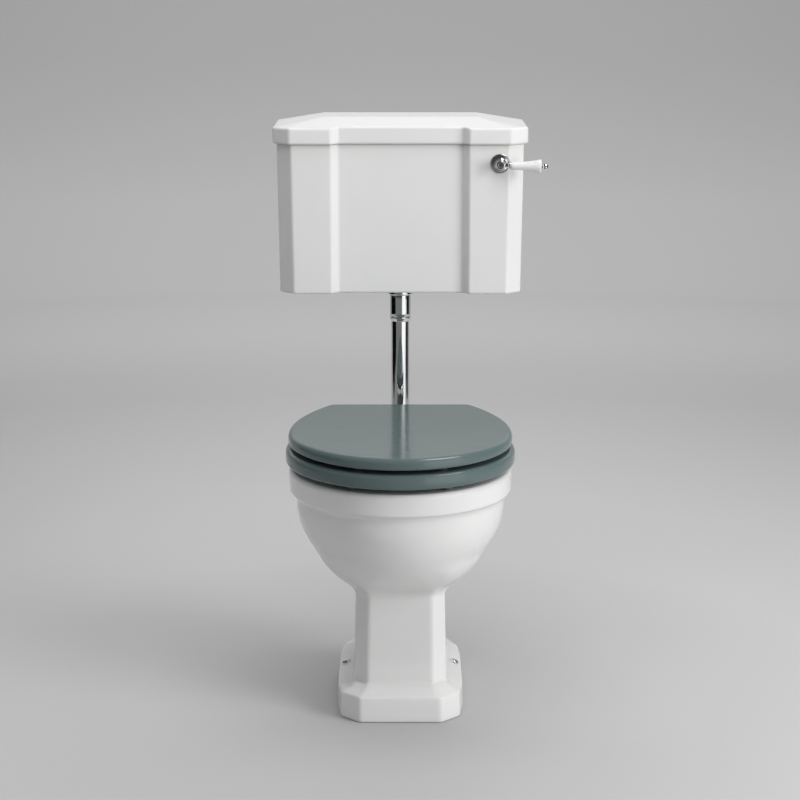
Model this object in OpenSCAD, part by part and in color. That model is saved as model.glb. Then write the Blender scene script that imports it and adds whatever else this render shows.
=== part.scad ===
// Low level toilet: a china pan with its seat, and a china cistern close above it on a short flush pipe.
// X is to the right as seen from the front, the front faces -Y, the wall is at +Y, and Z is up.
// The origin lies on the floor, midway between the two floor screws.

/* [Setting out] */
// Distance from the line of the floor screws back to the wall
wall_y = 382; // [372:1:400]
// Height of the cistern's underside above the floor
cistern_z = 646; // [640:1:680]
// Distance of the flush pipe's centre from the wall
flush_from_wall = 95; // [92:1:98]

/* [Cistern body] */
// Width across the top
cistern_w = 426; // [420:1:440]
// Depth from the wall to the front, at the top
cistern_d = 175.5; // [173:0.5:182]
// Height of the body without its lid
cistern_h = 257.5; // [250:0.5:280]
// How much narrower the body is at the bottom
cistern_taper_w = 7; // [4:0.5:10]
// How much shallower the body is at the bottom
cistern_taper_d = 5.5; // [3:0.5:7]
// Size of the two cut front corners
cistern_corner = 25; // [20:1:28]
// Thickness of the china walls
cistern_wall = 10; // [9:0.5:11]
// Thickness of the china floor
cistern_floor = 12; // [10:0.5:14]
// Width of the sunk front panel, at the front face
panel_w = 237.5; // [225:0.5:245]
// Depth of the sunk front panel
panel_depth = 13; // [10:0.5:14]
// Width of each sloping side of the sunk panel
panel_slope = 11.3; // [8:0.1:14]
// Rounding of the upright edges
cistern_edge_r = 5; // [3:0.5:7]

/* [Cistern lid] */
// Overhang at each side
lid_over_side = 7; // [5:0.5:9]
// Overhang at the front
lid_over_front = 6.5; // [4:0.5:8]
// Height of the upright edge
lid_edge_h = 28; // [24:0.5:34]
// Rise from the edge to the flat top
lid_rise = 13.5; // [9:0.5:18]
// Width of the sloping margin round the flat top
lid_margin = 84.5; // [70:0.5:92]
// Thickness of the lid's top
lid_top_t = 12; // [10:0.5:14]
// Depth of the rim that drops inside the body
lid_lip_h = 7; // [5:0.5:9]
// Gap between that rim and the body's walls
lid_lip_gap = 3; // [2:0.5:4]

/* [Pan] */
// Height of the rim above the floor
rim_z = 403.5; // [398:0.5:410]
// Width across the rim
rim_w = 365; // [358:1:370]
// Reach of the rim in front of the floor screws
rim_front = 255; // [245:1:262]
// Reach of the seat deck behind the floor screws
deck_back = 192; // [188:1:196]
// Distance of the bowl's widest line in front of the floor screws
bowl_centre = 53; // [45:1:60]
// Height of the band round the rim
rim_band_h = 36.5; // [30:0.5:42]
// How far the band stands out from the bowl
rim_step = 6; // [4:0.5:8]
// Width of the rim's top
rim_top_w = 38; // [34:0.5:40]
// Depth of the rim's inner wall, which hides the flushing channel
rim_drop = 40; // [32:1:46]
// Thickness of the china
china_t = 12; // [10:0.5:14]
// Height at which the bowl meets the pedestal
neck_z = 192; // [186:1:200]
// Inside width of the bowl at its throat
throat_w = 84; // [78:1:90]
// Diameter of the waterway through the trap
trap_bore = 76; // [72:1:78]
// Depth of the water that seals the trap
water_seal = 50; // [45:1:52]
// Thickness of the deck where the seat is bolted
deck_t = 16; // [14:0.5:20]

/* [Pedestal and foot] */
// Width of the pedestal at the neck
pedestal_w = 146; // [140:1:152]
// Reach of the pedestal's face in front of the floor screws
pedestal_front = 135; // [130:1:140]
// Reach of the pedestal's back behind the floor screws
pedestal_back = 82; // [76:1:90]
// Size of the pedestal's cut corners
pedestal_corner = 21.5; // [18:0.5:25]
// Width of the foot
foot_w = 208; // [202:1:214]
// Reach of the foot in front of the floor screws
foot_front = 170.5; // [164:0.5:176]
// Reach of the foot behind the floor screws
foot_back = 158; // [150:1:166]
// Height of the foot's upright edge
foot_h = 43; // [38:0.5:48]
// Rise of the foot's sloping top
foot_rise = 11; // [8:0.5:14]
// Wall of the hollow foot
foot_wall = 15; // [12:0.5:18]

/* [Floor screws] */
// Distance between the two screws, at the foot's top
floor_screw_spacing = 182.5; // [178:0.5:186]
// Diameter of a screw's shank
floor_screw_d = 7; // [6:0.5:8]
// Diameter of the cap over a screw
floor_cap_d = 15.5; // [14:0.5:17]

/* [Outlet and flush inlet] */
// Height of the outlet's centre above the floor
outlet_z = 190; // [186:1:194]
// Outside diameter of the outlet spigot
outlet_d = 102; // [100:0.5:104]
// Bore of the outlet spigot
outlet_bore = 84; // [80:0.5:86]
// Reach of the outlet behind the floor screws
outlet_back = 212; // [208:1:225]
// Length of the outlet spigot that takes the soil pipe's socket
outlet_l = 45; // [40:1:46]
// Depth of the flush inlet's centre below the rim
horn_down = 51.5; // [48:0.5:54]
// Outside diameter of the flush inlet horn
horn_d = 58; // [54:0.5:62]
// Bore of the flush inlet horn
horn_bore = 46; // [44:0.5:48]
// Reach of the horn behind the seat deck
horn_out = 10; // [6:1:14]

/* [Seat] */
// Width of the seat ring
seat_w = 375; // [368:1:378]
// Reach of the seat in front of the floor screws
seat_front = 265; // [258:1:268]
// Reach of the seat behind the floor screws
seat_back = 152; // [146:1:153]
// Thickness of the seat ring
ring_t = 24; // [20:0.5:26]
// Gap between rim and ring, filled by the buffers
ring_gap = 10; // [8:0.5:12]
// Width of the opening in the ring
ring_hole_w = 226; // [215:1:235]
// Width of the ring's band at the front
ring_band_front = 58; // [50:1:64]
// Width of the ring's band at the back
ring_band_back = 78; // [70:1:84]
// Thickness of the seat lid
cover_t = 18; // [15:0.5:20]
// Gap between ring and lid, filled by the buffers
cover_gap = 7.5; // [7:0.5:9]
// How much narrower the lid is than the ring, at each side
cover_inset = 4.5; // [3:0.5:6]
// Rounding of the upper edges
seat_round = 8; // [5:0.5:9]
// Diameter of the rubber buffers
buffer_d = 18; // [14:0.5:22]

/* [Seat hinge] */
// Distance between the two hinge posts
hinge_spacing = 155; // [150:1:160]
// Distance of the hinge rod behind the seat's back edge
hinge_behind = 12; // [11:0.5:14]
// Diameter of the hinge rod
hinge_rod_d = 10; // [8:0.5:11]
// Outside diameter of the strap knuckles
knuckle_d = 17; // [15:0.5:18]
// Length of a knuckle
knuckle_l = 16; // [12:0.5:18]
// Length of a strap over the wood
strap_l = 34; // [28:1:40]
// Thickness of the strap plates
strap_t = 2.5; // [2:0.5:3]
// Diameter of the hinge bolts
hinge_bolt_d = 8; // [7:0.5:9]

/* [Flush pipe] */
// Outside diameter of the pipe
pipe_d = 32; // [30:0.5:34]
// Wall of the pipe
pipe_wall = 1.5; // [1:0.25:2]
// Radius of the pipe's bend
pipe_bend_r = 75; // [65:1:76]
// Height of the nut under the cistern
flush_nut_h = 12; // [9:0.5:14]
// Diameter of the nut under the cistern
flush_nut_d = 43; // [41:0.5:48]
// Length of the coupling sleeve
sleeve_l = 40; // [34:1:46]
// Diameter of the coupling sleeve
sleeve_d = 36.5; // [36:0.5:38]
// Height of the sealing ring at the sleeve's foot
olive_h = 9; // [7:0.5:11]

/* [Flush lever] */
// Distance of the lever's spindle from the middle of the cistern
lever_x = 171; // [165:1:176]
// Depth of the spindle below the body's top edge
lever_down = 32.5; // [28:0.5:40]
// Diameter of the rose
rose_d = 34; // [30:0.5:36]
// Diameter of the spindle
spindle_d = 8; // [7:0.5:9]
// Distance of the handle's centre line in front of the body
handle_out = 25; // [23:0.5:27]
// Length of the china handle
handle_l = 52; // [46:0.5:58]
// Thin end of the china handle
handle_d1 = 13.5; // [12:0.5:15]
// Thick end of the china handle
handle_d2 = 24.4; // [20:0.2:27]
// How far the handle is pressed down, in degrees
lever_travel = 30; // [24:1:32]
// Reach of the inner arm to the siphon's lift rod
inner_arm = 85; // [80:1:88]

/* [Siphon] */
// Diameter of the siphon's bell
bell_d = 92; // [86:1:96]
// Height of the siphon's bell
bell_h = 66; // [60:1:72]
// Diameter of the siphon's tubes
siphon_tube_d = 34; // [32:0.5:36]
// Wall of the siphon's plastic
siphon_wall = 3; // [2:0.5:4]
// Height of the siphon's crown above the cistern's floor
crown_h = 196; // [185:1:205]

/* [Fill valve] */
// Distance of the valve from the middle of the cistern
valve_x = 170; // [166:1:174]
// Distance of the valve from the wall
valve_from_wall = 60; // [58:1:66]
// Diameter of the threaded inlet tail
tail_d = 20.8; // [20:0.2:21.4]
// Length of the tail below the cistern
tail_out = 17.5; // [15:0.5:18]
// Height of the valve's barrel above the cistern's floor
valve_h = 148; // [140:1:160]
// Diameter of the ball float
float_d = 80; // [72:1:82]
// Reach of the float arm, from its pivot to the ball's centre
float_reach = 80; // [78:1:84]
// Angle through which the float arm rises, in degrees
float_travel = 35; // [28:1:36]

/* [Hidden] */

$fn = 64;
// Running clearance of turning and sliding parts, on the radius
run_gap = 0.05;
// Clearance of fastenings in their holes, on the radius
hole_gap = 0.4;
// Clearance between a fixed part and the slightly uneven china
seat_gap = 0.3;
// Overlap that lets a cutting shape pass through a face
cut = 1;
// Power of the curve of the rim's sides towards the back
side_power = 2.05;
// Depth at which that curve would close
side_reach = 338;

// Bowl curve: 1 at the band, 0 at the neck
bowl_power = 1.93;
band_z = rim_z - rim_band_h;
bowl_top_z = band_z - 13;
bowl_y = -bowl_centre;
pedestal_foot_w = pedestal_w + 6;
foot_top_z = foot_h + foot_rise;
deck_reach = deck_back + bowl_centre;

cistern_top_z = cistern_z + cistern_h;
cistern_floor_z = cistern_z + cistern_floor;
lid_top_z = cistern_top_z + lid_edge_h + lid_rise;
flush_y = wall_y - flush_from_wall;

ring_z = rim_z + ring_gap;
ring_top_z = ring_z + ring_t;
cover_z = ring_top_z + cover_gap;
hinge_y = seat_back + hinge_behind;
hinge_z = ring_top_z + cover_gap / 2 - 1.5;
horn_z = rim_z - horn_down;

lever_z = cistern_top_z - lever_down;
lever_front = wall_y - cistern_d + cistern_taper_d * lever_down / cistern_h;
handle_y = lever_front - handle_out;

function lerp(a, b, t) = a + (b - a) * t;
function clamp(v, lo, hi) = min(max(v, lo), hi);
function unit(v) = v / norm(v);
function at_height(points, z) = [for (p = points) [p[0], p[1], z]];
function both_sides(half) = concat(half, [for (i = [len(half) - 1:-1:0]) if (half[i][0] > 0.001) [-half[i][0], half[i][1]]]);

// Rounds every corner of an outline with a short curve of the given steps
function rounded(points, r, steps) = [
    for (i = [0:len(points) - 1])
        let (
            p = points[i],
            a = points[(i + len(points) - 1) % len(points)],
            b = points[(i + 1) % len(points)],
            ra = min(r, norm(a - p) * 0.45),
            rb = min(r, norm(b - p) * 0.45),
            p1 = p + unit(a - p) * ra,
            p2 = p + unit(b - p) * rb
        )
        for (s = [0:steps])
            let (t = s / steps)
            (1 - t) * (1 - t) * p1 + 2 * t * (1 - t) * p + t * t * p2
];

// Joins outlines at rising heights into one solid
module skin(rings) {
    n = len(rings[0]);
    m = len(rings);
    polyhedron(
        points = [for (r = rings) each r],
        faces = concat(
            [[for (i = [0:n - 1]) i]],
            [[for (i = [n - 1:-1:0]) (m - 1) * n + i]],
            [for (j = [0:m - 2]) for (i = [0:n - 1]) [j * n + i, (j + 1) * n + i, (j + 1) * n + (i + 1) % n]],
            [for (j = [0:m - 2]) for (i = [0:n - 1]) [j * n + i, (j + 1) * n + (i + 1) % n, j * n + (i + 1) % n]]
        ),
        convexity = 8
    );
}

// A round rod between two points
module rod(a, b, d) {
    v = b - a;
    turn = atan2(v[1], v[0]);
    lean = acos(v[2] / norm(v));
    translate(a) rotate([0, lean, turn]) cylinder(d = d, h = norm(v));
}

// A tube along Y, from y1 to y2
module tube_y(x, y1, y2, z, d) {
    translate([x, y2, z]) rotate([90, 0, 0]) cylinder(d = d, h = y2 - y1);
}

// A tube along X, from x1 to x2
module tube_x(x1, x2, y, z, d) {
    translate([x1, y, z]) rotate([0, 90, 0]) cylinder(d = d, h = x2 - x1);
}

// Copies a right-hand piece to the left
module pair() {
    children();
    mirror([1, 0, 0]) children();
}

// A nut with six flats, standing on its face
module hex_nut(flats, bore, h) {
    difference() {
        cylinder(d = flats / cos(30), h = h, $fn = 6);
        translate([0, 0, -cut]) cylinder(d = bore, h = h + 2 * cut);
    }
}

// Right half of the rounded plan of rim, bowl and seat, measured from the bowl's widest line:
// an ellipse at the front, and sides that draw in towards the back
corner_r = 16;
function egg_half(w, front, back, reach, fine = false) =
    let (
        ellipse_n = fine ? 20 : 10,
        side_n = fine ? 12 : 6,
        side_back = back - corner_r,
        end_x = w * (1 - pow(back / reach, side_power)),
        p1 = [w * (1 - pow(side_back / reach, side_power)), side_back],
        p2 = [end_x - corner_r, back],
        pc = [end_x, back]
    )
    concat(
        [for (i = [0:ellipse_n]) [w * sin(90 * i / ellipse_n), -front * cos(90 * i / ellipse_n)]],
        [for (i = [1:side_n]) let (d = side_back * i / side_n) [w * (1 - pow(d / reach, side_power)), d]],
        [for (i = [1:3]) let (t = i / 3) (1 - t) * (1 - t) * p1 + 2 * t * (1 - t) * pc + t * t * p2]
    );

// Right half of the pedestal's plan with cut corners, with as many points as egg_half
function cut_half(w, front, back, corner) = [
    for (i = [0:19])
        i <= 4 ? [lerp(0, w - corner, i / 4), -front]
        : i <= 8 ? [lerp(w - corner, w, (i - 4) / 4), lerp(-front, corner - front, (i - 4) / 4)]
        : i <= 16 ? [w, lerp(corner - front, back - corner, (i - 8) / 8)]
        : [lerp(w, w - corner, (i - 16) / 3), lerp(back - corner, back, (i - 16) / 3)]
];

function moved(points, y) = [for (p = points) [p[0], p[1] + y]];

// Sizes of the pan's outside at a height
function bowl_share(z) = 1 - pow(clamp((bowl_top_z - z) / (bowl_top_z - neck_z), 0, 1), bowl_power);
function step_out(z) = rim_step * pow(clamp((z - bowl_top_z) / (band_z - bowl_top_z), 0, 1), 2);
function pan_w(z) = z < neck_z
    ? lerp(pedestal_foot_w, pedestal_w, clamp((z - foot_top_z) / (neck_z - foot_top_z), 0, 1)) / 2
    : lerp(pedestal_w / 2, rim_w / 2 - rim_step - 3, bowl_share(z)) + step_out(z);
function pan_front(z) = lerp(pedestal_front, rim_front - rim_step - 3, bowl_share(z)) - bowl_centre + step_out(z);
function pan_back(z) = lerp(pedestal_back, pedestal_back + 66, bowl_share(z)) + bowl_centre;
function pan_half(z, least = 0) =
    let (
        w = pan_w(z),
        front = pan_front(z),
        back = pan_back(z),
        round_share = max(least, clamp((z - neck_z) / 70, 0, 1)),
        egg = egg_half(w, front, back, back * side_reach / deck_reach),
        cut_plan = cut_half(w, front, back, pedestal_corner * w / (pedestal_w / 2))
    )
    [for (i = [0:19]) lerp(cut_plan[i], egg[i], round_share)];
function pan_ring(z, least = 0) = at_height(moved(both_sides(pan_half(z, least)), bowl_y), z);

// The band round the rim and the deck behind it; inset draws the whole plan in
function rim_plan(inset) = moved(both_sides(egg_half(rim_w / 2 - inset, rim_front - bowl_centre - inset,
    deck_reach - inset, side_reach)), bowl_y);

// The opening inside the rim
opening_w = rim_w / 2 - rim_top_w;
opening_front = rim_front - bowl_centre - rim_top_w - 4;
opening_back = 168;
function oval(w, front, back, n) = [
    for (i = [0:n - 1])
        let (a = 360 * i / n, y = sin(a))
        [w * cos(a), bowl_y + (y < 0 ? front : back) * y]
];
function opening_plan(grow) = oval(opening_w + grow, opening_front + grow, opening_back + grow, 48);

// The bowl's inside wall at a height, from the throat up to the flushing channel under the rim
throat_z = 178;
function inner_share(z) = 1 - pow(clamp((bowl_top_z - z) / (bowl_top_z - throat_z), 0, 1), bowl_power);
function inner_plan(z, grow = 0) =
    let (s = inner_share(z))
    oval(lerp(throat_w / 2, pan_w(bowl_top_z) - china_t, s) + grow,
        lerp(throat_w / 2, pan_front(bowl_top_z) - china_t, s) + grow,
        lerp(throat_w / 2 + 16, pan_back(bowl_top_z) - china_t, pow(s, 1.4)) + grow, 40);

module bowl_inside() {
    difference() {
        skin(concat(
            [at_height(inner_plan(throat_z, -8), throat_z - 10)],
            [for (z = [throat_z, 184, 192, 202, 214, 228, 244, 262, 284, 308, 332, bowl_top_z]) at_height(inner_plan(z), z)],
            [at_height(inner_plan(bowl_top_z, rim_step + 2), band_z + 3), at_height(inner_plan(bowl_top_z, rim_step + 2), rim_z - china_t)]
        ));
        translate([0, 0, rim_z - china_t - rim_drop + 12]) linear_extrude(height = rim_drop) polygon(opening_plan(rim_wall_t));
    }
}
rim_wall_t = 8;

// The waterway's bends, as distances behind the floor screws and heights: down out of the bowl,
// under the tongue, up over the weir and into the outlet
trap_r = trap_bore / 2;
sump_z = foot_top_z - 4 + trap_r;
weir_y = 106;
weir_z = sump_z + 2 * trap_r + water_seal;
trap_bends = [[-40, throat_z + 8], [-38, sump_z + 3], [28, sump_z], [weir_y, weir_z], [weir_y + 28, outlet_z]];

// The legs between those bends, with a ball in each bend
module trap_legs(d, first, last) {
    for (i = [first:last]) rod([0, trap_bends[i][0], trap_bends[i][1]], [0, trap_bends[i + 1][0], trap_bends[i + 1][1]], d);
    for (i = [first + 1:last]) translate([0, trap_bends[i][0], trap_bends[i][1]]) sphere(d = d + 1);
}

function foot_half(inset) =
    let (w = foot_w / 2 - inset, f = foot_front - inset, b = foot_back - inset)
    [[66.5 - inset * 0.4, -f], [w - 6, 30.5 - foot_front + inset * 0.6], [w, -90], [w, 56],
        [w - 3, 104], [w - 23, b - 5], [w - 28, b]];
function foot_plan(inset) = rounded(both_sides(foot_half(inset)), 6, 3);

floor_screw_x = floor_screw_spacing / 2;
ledge_w = 25;
ledge_z = foot_h + 0.6;
floor_screw_top_z = ledge_z + (foot_w / 2 - 5 - floor_screw_x) * (foot_top_z - ledge_z) / ledge_w;
floor_screw_lean = atan((foot_top_z - ledge_z) / ledge_w);
// Puts its children on the right-hand floor screw's axis, with the foot's top at height 0
module on_floor_screw() {
    translate([floor_screw_x, 0, floor_screw_top_z]) rotate([0, floor_screw_lean, 0]) children();
}

// A post and its bolt stand on each of these
module on_hinge_post() {
    translate([hinge_spacing / 2, hinge_y, 0]) children();
}

module pan_outside() {
    skin(concat(
        [pan_ring(foot_top_z - 9, 0.4), pan_ring(foot_top_z - 5)],
        [for (z = [120, neck_z, 199, 208, 219, 232, 247, 264, 284, 306, 330, bowl_top_z, bowl_top_z + 6,
            bowl_top_z + 10, band_z + 1.5]) pan_ring(z)]
    ));
    skin([at_height(rim_plan(2.5), band_z), at_height(rim_plan(1.2), band_z + 2), at_height(rim_plan(0), rim_z - 7),
        at_height(rim_plan(1), rim_z - 3), at_height(rim_plan(3.5), rim_z - 0.8), at_height(rim_plan(6), rim_z)]);
    skin([at_height(foot_plan(0), 0), at_height(foot_plan(1), foot_h - 3), at_height(foot_plan(2.5), foot_h - 0.8),
        at_height(foot_plan(5), ledge_z), at_height(foot_plan(5 + ledge_w), foot_top_z)]);
    trap_legs(2 * (trap_r + china_t), 2, 3);
    tube_y(0, weir_y + 10, outlet_back - 2, outlet_z, outlet_d - 4);
    tube_y(0, outlet_back - outlet_l, outlet_back, outlet_z, outlet_d);
    tube_y(0, 112, deck_back + horn_out, horn_z, horn_d);
}

// The hollow under foot and pedestal, round the outside of the trap, with a web across the screws
module foot_hollow() {
    difference() {
        union() {
            translate([0, 0, -cut]) linear_extrude(height = foot_h - 8 + cut) polygon(foot_plan(foot_wall));
            linear_extrude(height = throat_z - 36) polygon(rounded(moved(both_sides([
                [pedestal_w / 2 - china_t - pedestal_corner, bowl_centre - pedestal_front + china_t],
                [pedestal_w / 2 - china_t, bowl_centre - pedestal_front + china_t + pedestal_corner],
                [pedestal_w / 2 - china_t, bowl_centre + pedestal_back - china_t - pedestal_corner],
                [pedestal_w / 2 - china_t - pedestal_corner, bowl_centre + pedestal_back - china_t]
            ]), bowl_y), 10, 2));
        }
        trap_legs(2 * (trap_r + china_t - 1.5), 0, 2);
        translate([-foot_w / 2, -8, -2 * cut]) cube([foot_w, 16, foot_h + 6]);
        pair() on_floor_screw() translate([0, 0, -80]) cylinder(d = 26, h = 90);
    }
}

module pan() {
    color("white") difference() {
        pan_outside();
        bowl_inside();
        trap_legs(trap_bore, 0, 3);
        tube_y(0, weir_y + 26, outlet_back + cut, outlet_z, outlet_bore);
        translate([0, 0, bowl_top_z - 6]) linear_extrude(height = rim_z) polygon(opening_plan(0));
        tube_y(0, 120, deck_back + horn_out + cut, horn_z, horn_bore);
        foot_hollow();
        pair() on_hinge_post() {
            translate([0, 0, band_z - cut]) cylinder(d = hinge_bolt_d + 4, h = rim_band_h + 2 * cut);
            translate([0, 0, band_z - 9]) cylinder(d = hinge_pocket_d, h = rim_band_h - deck_t + 9);
        }
        pair() on_floor_screw() translate([0, 0, -80]) cylinder(d = floor_screw_d + 3, h = 100);
    }
}
hinge_pocket_d = 32;

floor_screw_l = (floor_screw_top_z - 2) / cos(floor_screw_lean);
module floor_screws() {
    color("silver") pair() on_floor_screw() {
        translate([0, 0, -floor_screw_l]) cylinder(d = floor_screw_d, h = floor_screw_l + 1);
        translate([0, 0, 1]) cylinder(d = 11, h = 2);
    }
}

screw_sleeve_l = 30;
module floor_screw_sleeves() {
    color("whitesmoke") pair() on_floor_screw() difference() {
        union() {
            translate([0, 0, -screw_sleeve_l]) cylinder(d = floor_screw_d + 2.4, h = screw_sleeve_l + 0.5);
            translate([0, 0, 0.3]) cylinder(d = 13, h = 0.7);
        }
        translate([0, 0, -screw_sleeve_l - cut]) cylinder(d = floor_screw_d + 0.2, h = screw_sleeve_l + 4 * cut);
    }
}

module floor_screw_caps() {
    color("silver") pair() on_floor_screw() rotate_extrude() difference() {
        polygon([[0, 5.2], [2.5, 5.1], [5, 4.5], [6.8, 3.2], [floor_cap_d / 2, 1.2], [floor_cap_d / 2, 0.3], [0, 0.3]]);
        translate([0, 0.2]) square([6.7, 3]);
    }
}

hinge_head_d = 2 * hinge_rod_d;
hinge_flange_d = 3 * hinge_rod_d;
hinge_post_d = 1.5 * hinge_rod_d;
module hinge_posts() {
    color("silver") pair() on_hinge_post() difference() {
        union() {
            translate([0, 0, rim_z]) cylinder(d = hinge_flange_d, h = 3);
            translate([0, 0, rim_z + 3]) cylinder(d1 = hinge_flange_d, d2 = hinge_post_d, h = 4);
            translate([0, 0, rim_z + 7]) cylinder(d = hinge_post_d, h = hinge_z - rim_z - 7);
            translate([0, 0, hinge_z]) sphere(d = hinge_head_d);
        }
        tube_x(-hinge_head_d, hinge_head_d, 0, hinge_z, hinge_rod_d + 2 * run_gap);
    }
}

hinge_rod_l = hinge_spacing + hinge_head_d + 6;
module hinge_rod() {
    color("silver") {
        tube_x(-hinge_rod_l / 2, hinge_rod_l / 2, hinge_y, hinge_z, hinge_rod_d);
        pair() translate([hinge_rod_l / 2, hinge_y, hinge_z]) sphere(d = hinge_rod_d + 3);
    }
}

hinge_bolt_l = 46;
hinge_seat_z = rim_z - deck_t;
module hinge_bolts() {
    color("silver") pair() on_hinge_post() translate([0, 0, rim_z - hinge_bolt_l]) cylinder(d = hinge_bolt_d, h = hinge_bolt_l);
}

hinge_washer_h = 4;
module hinge_washers() {
    color("dimgray") pair() on_hinge_post() translate([0, 0, hinge_seat_z - hinge_washer_h]) difference() {
        union() {
            cylinder(d = hinge_pocket_d - 6, h = hinge_washer_h);
            cylinder(d = hinge_bolt_d + 3, h = hinge_washer_h + 8);
        }
        translate([0, 0, -cut]) cylinder(d = hinge_bolt_d + 0.4, h = hinge_washer_h + 12);
    }
}

module hinge_nuts() {
    color("whitesmoke") pair() on_hinge_post() translate([0, 0, hinge_seat_z - hinge_washer_h - 10]) difference() {
        union() {
            cylinder(d = 16, h = 10);
            translate([2 - hinge_pocket_d / 2, -2, 1]) cube([hinge_pocket_d - 4, 4, 7]);
        }
        translate([0, 0, -cut]) cylinder(d = hinge_bolt_d + 0.4, h = 10 + 2 * cut);
    }
}

// Plan of ring and lid; inset draws it in, and narrow takes the lid's sides in
function seat_plan(inset, narrow = 0) = moved(both_sides(egg_half(seat_w / 2 - narrow - inset,
    seat_front - bowl_centre - inset, seat_back + bowl_centre - inset, side_reach, true)), bowl_y);

ring_hole_w2 = ring_hole_w / 2;
hole_y = (seat_back - ring_band_back - seat_front + ring_band_front) / 2;
hole_len = (seat_back - ring_band_back + seat_front - ring_band_front) / 2;
function hole_plan(grow) = [for (i = [0:59]) [(ring_hole_w2 + grow) * cos(6 * i), hole_y + (hole_len + grow) * sin(6 * i)]];

// Height and inset of the steps that round an edge: over at the top, under at the bottom
function round_over(r) = [for (a = [0, 30, 60, 90]) [r * sin(a) - r, r - r * cos(a)]];
function round_under(r) = [for (a = [0, 30, 60, 90]) [r - r * cos(a), r - r * sin(a)]];

module seat_ring() {
    color("slategray") difference() {
        skin(concat(
            [for (s = round_under(4)) at_height(seat_plan(s[1]), ring_z + s[0])],
            [for (s = round_over(seat_round)) at_height(seat_plan(s[1]), ring_top_z + s[0])]
        ));
        skin(concat(
            [at_height(hole_plan(4), ring_z - cut), at_height(hole_plan(4), ring_z), at_height(hole_plan(0), ring_z + 5)],
            [for (s = round_over(seat_round)) at_height(hole_plan(s[1]), ring_top_z + s[0])],
            [at_height(hole_plan(seat_round), ring_top_z + cut)]
        ));
    }
}

strap_x1 = hinge_spacing / 2 - hinge_head_d / 2 - knuckle_l / 2 - 2;
strap_x2 = strap_x1 - knuckle_l - 8;
// A strap: knuckle round the rod, and a plate that runs forward over the wood
module strap(x, plate_z) {
    difference() {
        union() {
            tube_x(x - knuckle_l / 2, x + knuckle_l / 2, hinge_y, hinge_z, knuckle_d);
            translate([x - knuckle_l / 2, seat_back - strap_l, plate_z]) cube([knuckle_l, strap_l + hinge_behind, strap_t]);
        }
        tube_x(x - knuckle_l, x + knuckle_l, hinge_y, hinge_z, hinge_rod_d + 2 * run_gap);
        for (s = [0.3, 0.75]) translate([x, seat_back - strap_l * s, plate_z - cut]) cylinder(d = 4.4, h = strap_t + 2 * cut);
    }
}

module ring_straps() {
    color("silver") pair() strap(strap_x1, ring_top_z);
}

module lid_straps() {
    color("silver") pair() strap(strap_x2, cover_z - strap_t);
}

// The screws of a strap; their round heads lie on the plate
module strap_screws(x, head_z, up) {
    for (s = [0.3, 0.75]) translate([x, seat_back - strap_l * s, head_z]) rotate([up ? 0 : 180, 0, 0]) {
        cylinder(d = 7.6, h = 1.2);
        translate([0, 0, -strap_t]) cylinder(d = 4, h = strap_t);
    }
}

module ring_strap_screws() {
    color("silver") pair() strap_screws(strap_x1, ring_top_z + strap_t, true);
}

module lid_strap_screws() {
    color("silver") pair() strap_screws(strap_x2, cover_z - strap_t, false);
}

// Buffer places, as shares of the plan's width and length from the bowl's widest line
module buffers(front_a, back_x, back_y, z, h) {
    pair() {
        translate([(rim_w / 2 - rim_top_w / 2) * sin(front_a), bowl_y - (rim_front - bowl_centre - rim_top_w / 2 - 2) * cos(front_a), z])
            buffer(h);
        translate([back_x, back_y, z]) buffer(h);
    }
}

module buffer(h) {
    rotate_extrude() polygon([[0, 0], [buffer_d / 2 - 2, 0], [buffer_d / 2, 2], [buffer_d / 2, h], [0, h]]);
}

module ring_buffers() {
    color("dimgray") buffers(27, rim_w / 2 - 29, 22, rim_z, ring_gap);
}

module lid_buffers() {
    color("dimgray") buffers(24, rim_w / 2 - 36, 40, ring_top_z, cover_gap);
}

module seat_lid() {
    color("slategray") skin(concat(
        [for (s = round_under(3)) at_height(seat_plan(s[1], cover_inset), cover_z + s[0])],
        [for (s = round_over(seat_round)) at_height(seat_plan(s[1], cover_inset), cover_z + cover_t + s[0])]
    ));
}

// Right half of the cistern's plan: cut corner, front panel and the slope down into the sunk panel;
// t draws the plan in, as for the inside of a wall
function cistern_half(w, d, corner, t) =
    let (
        k = t * (sqrt(2) - 1),
        front = wall_y - d,
        slope_l = norm([panel_slope, panel_depth]),
        s = t * (1 - panel_slope / slope_l) / (panel_depth / slope_l)
    )
    [[panel_w / 2 - panel_slope + s, front + panel_depth + t], [panel_w / 2 + s, front + t],
        [w / 2 - corner - k, front + t], [w / 2 - t, front + corner + k], [w / 2 - t, wall_y - t]];
function cistern_plan(z, t) =
    let (share = (cistern_top_z - z) / cistern_h)
    rounded(both_sides(cistern_half(cistern_w - cistern_taper_w * share, cistern_d - cistern_taper_d * share,
        cistern_corner, t)), cistern_edge_r, 3);

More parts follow.
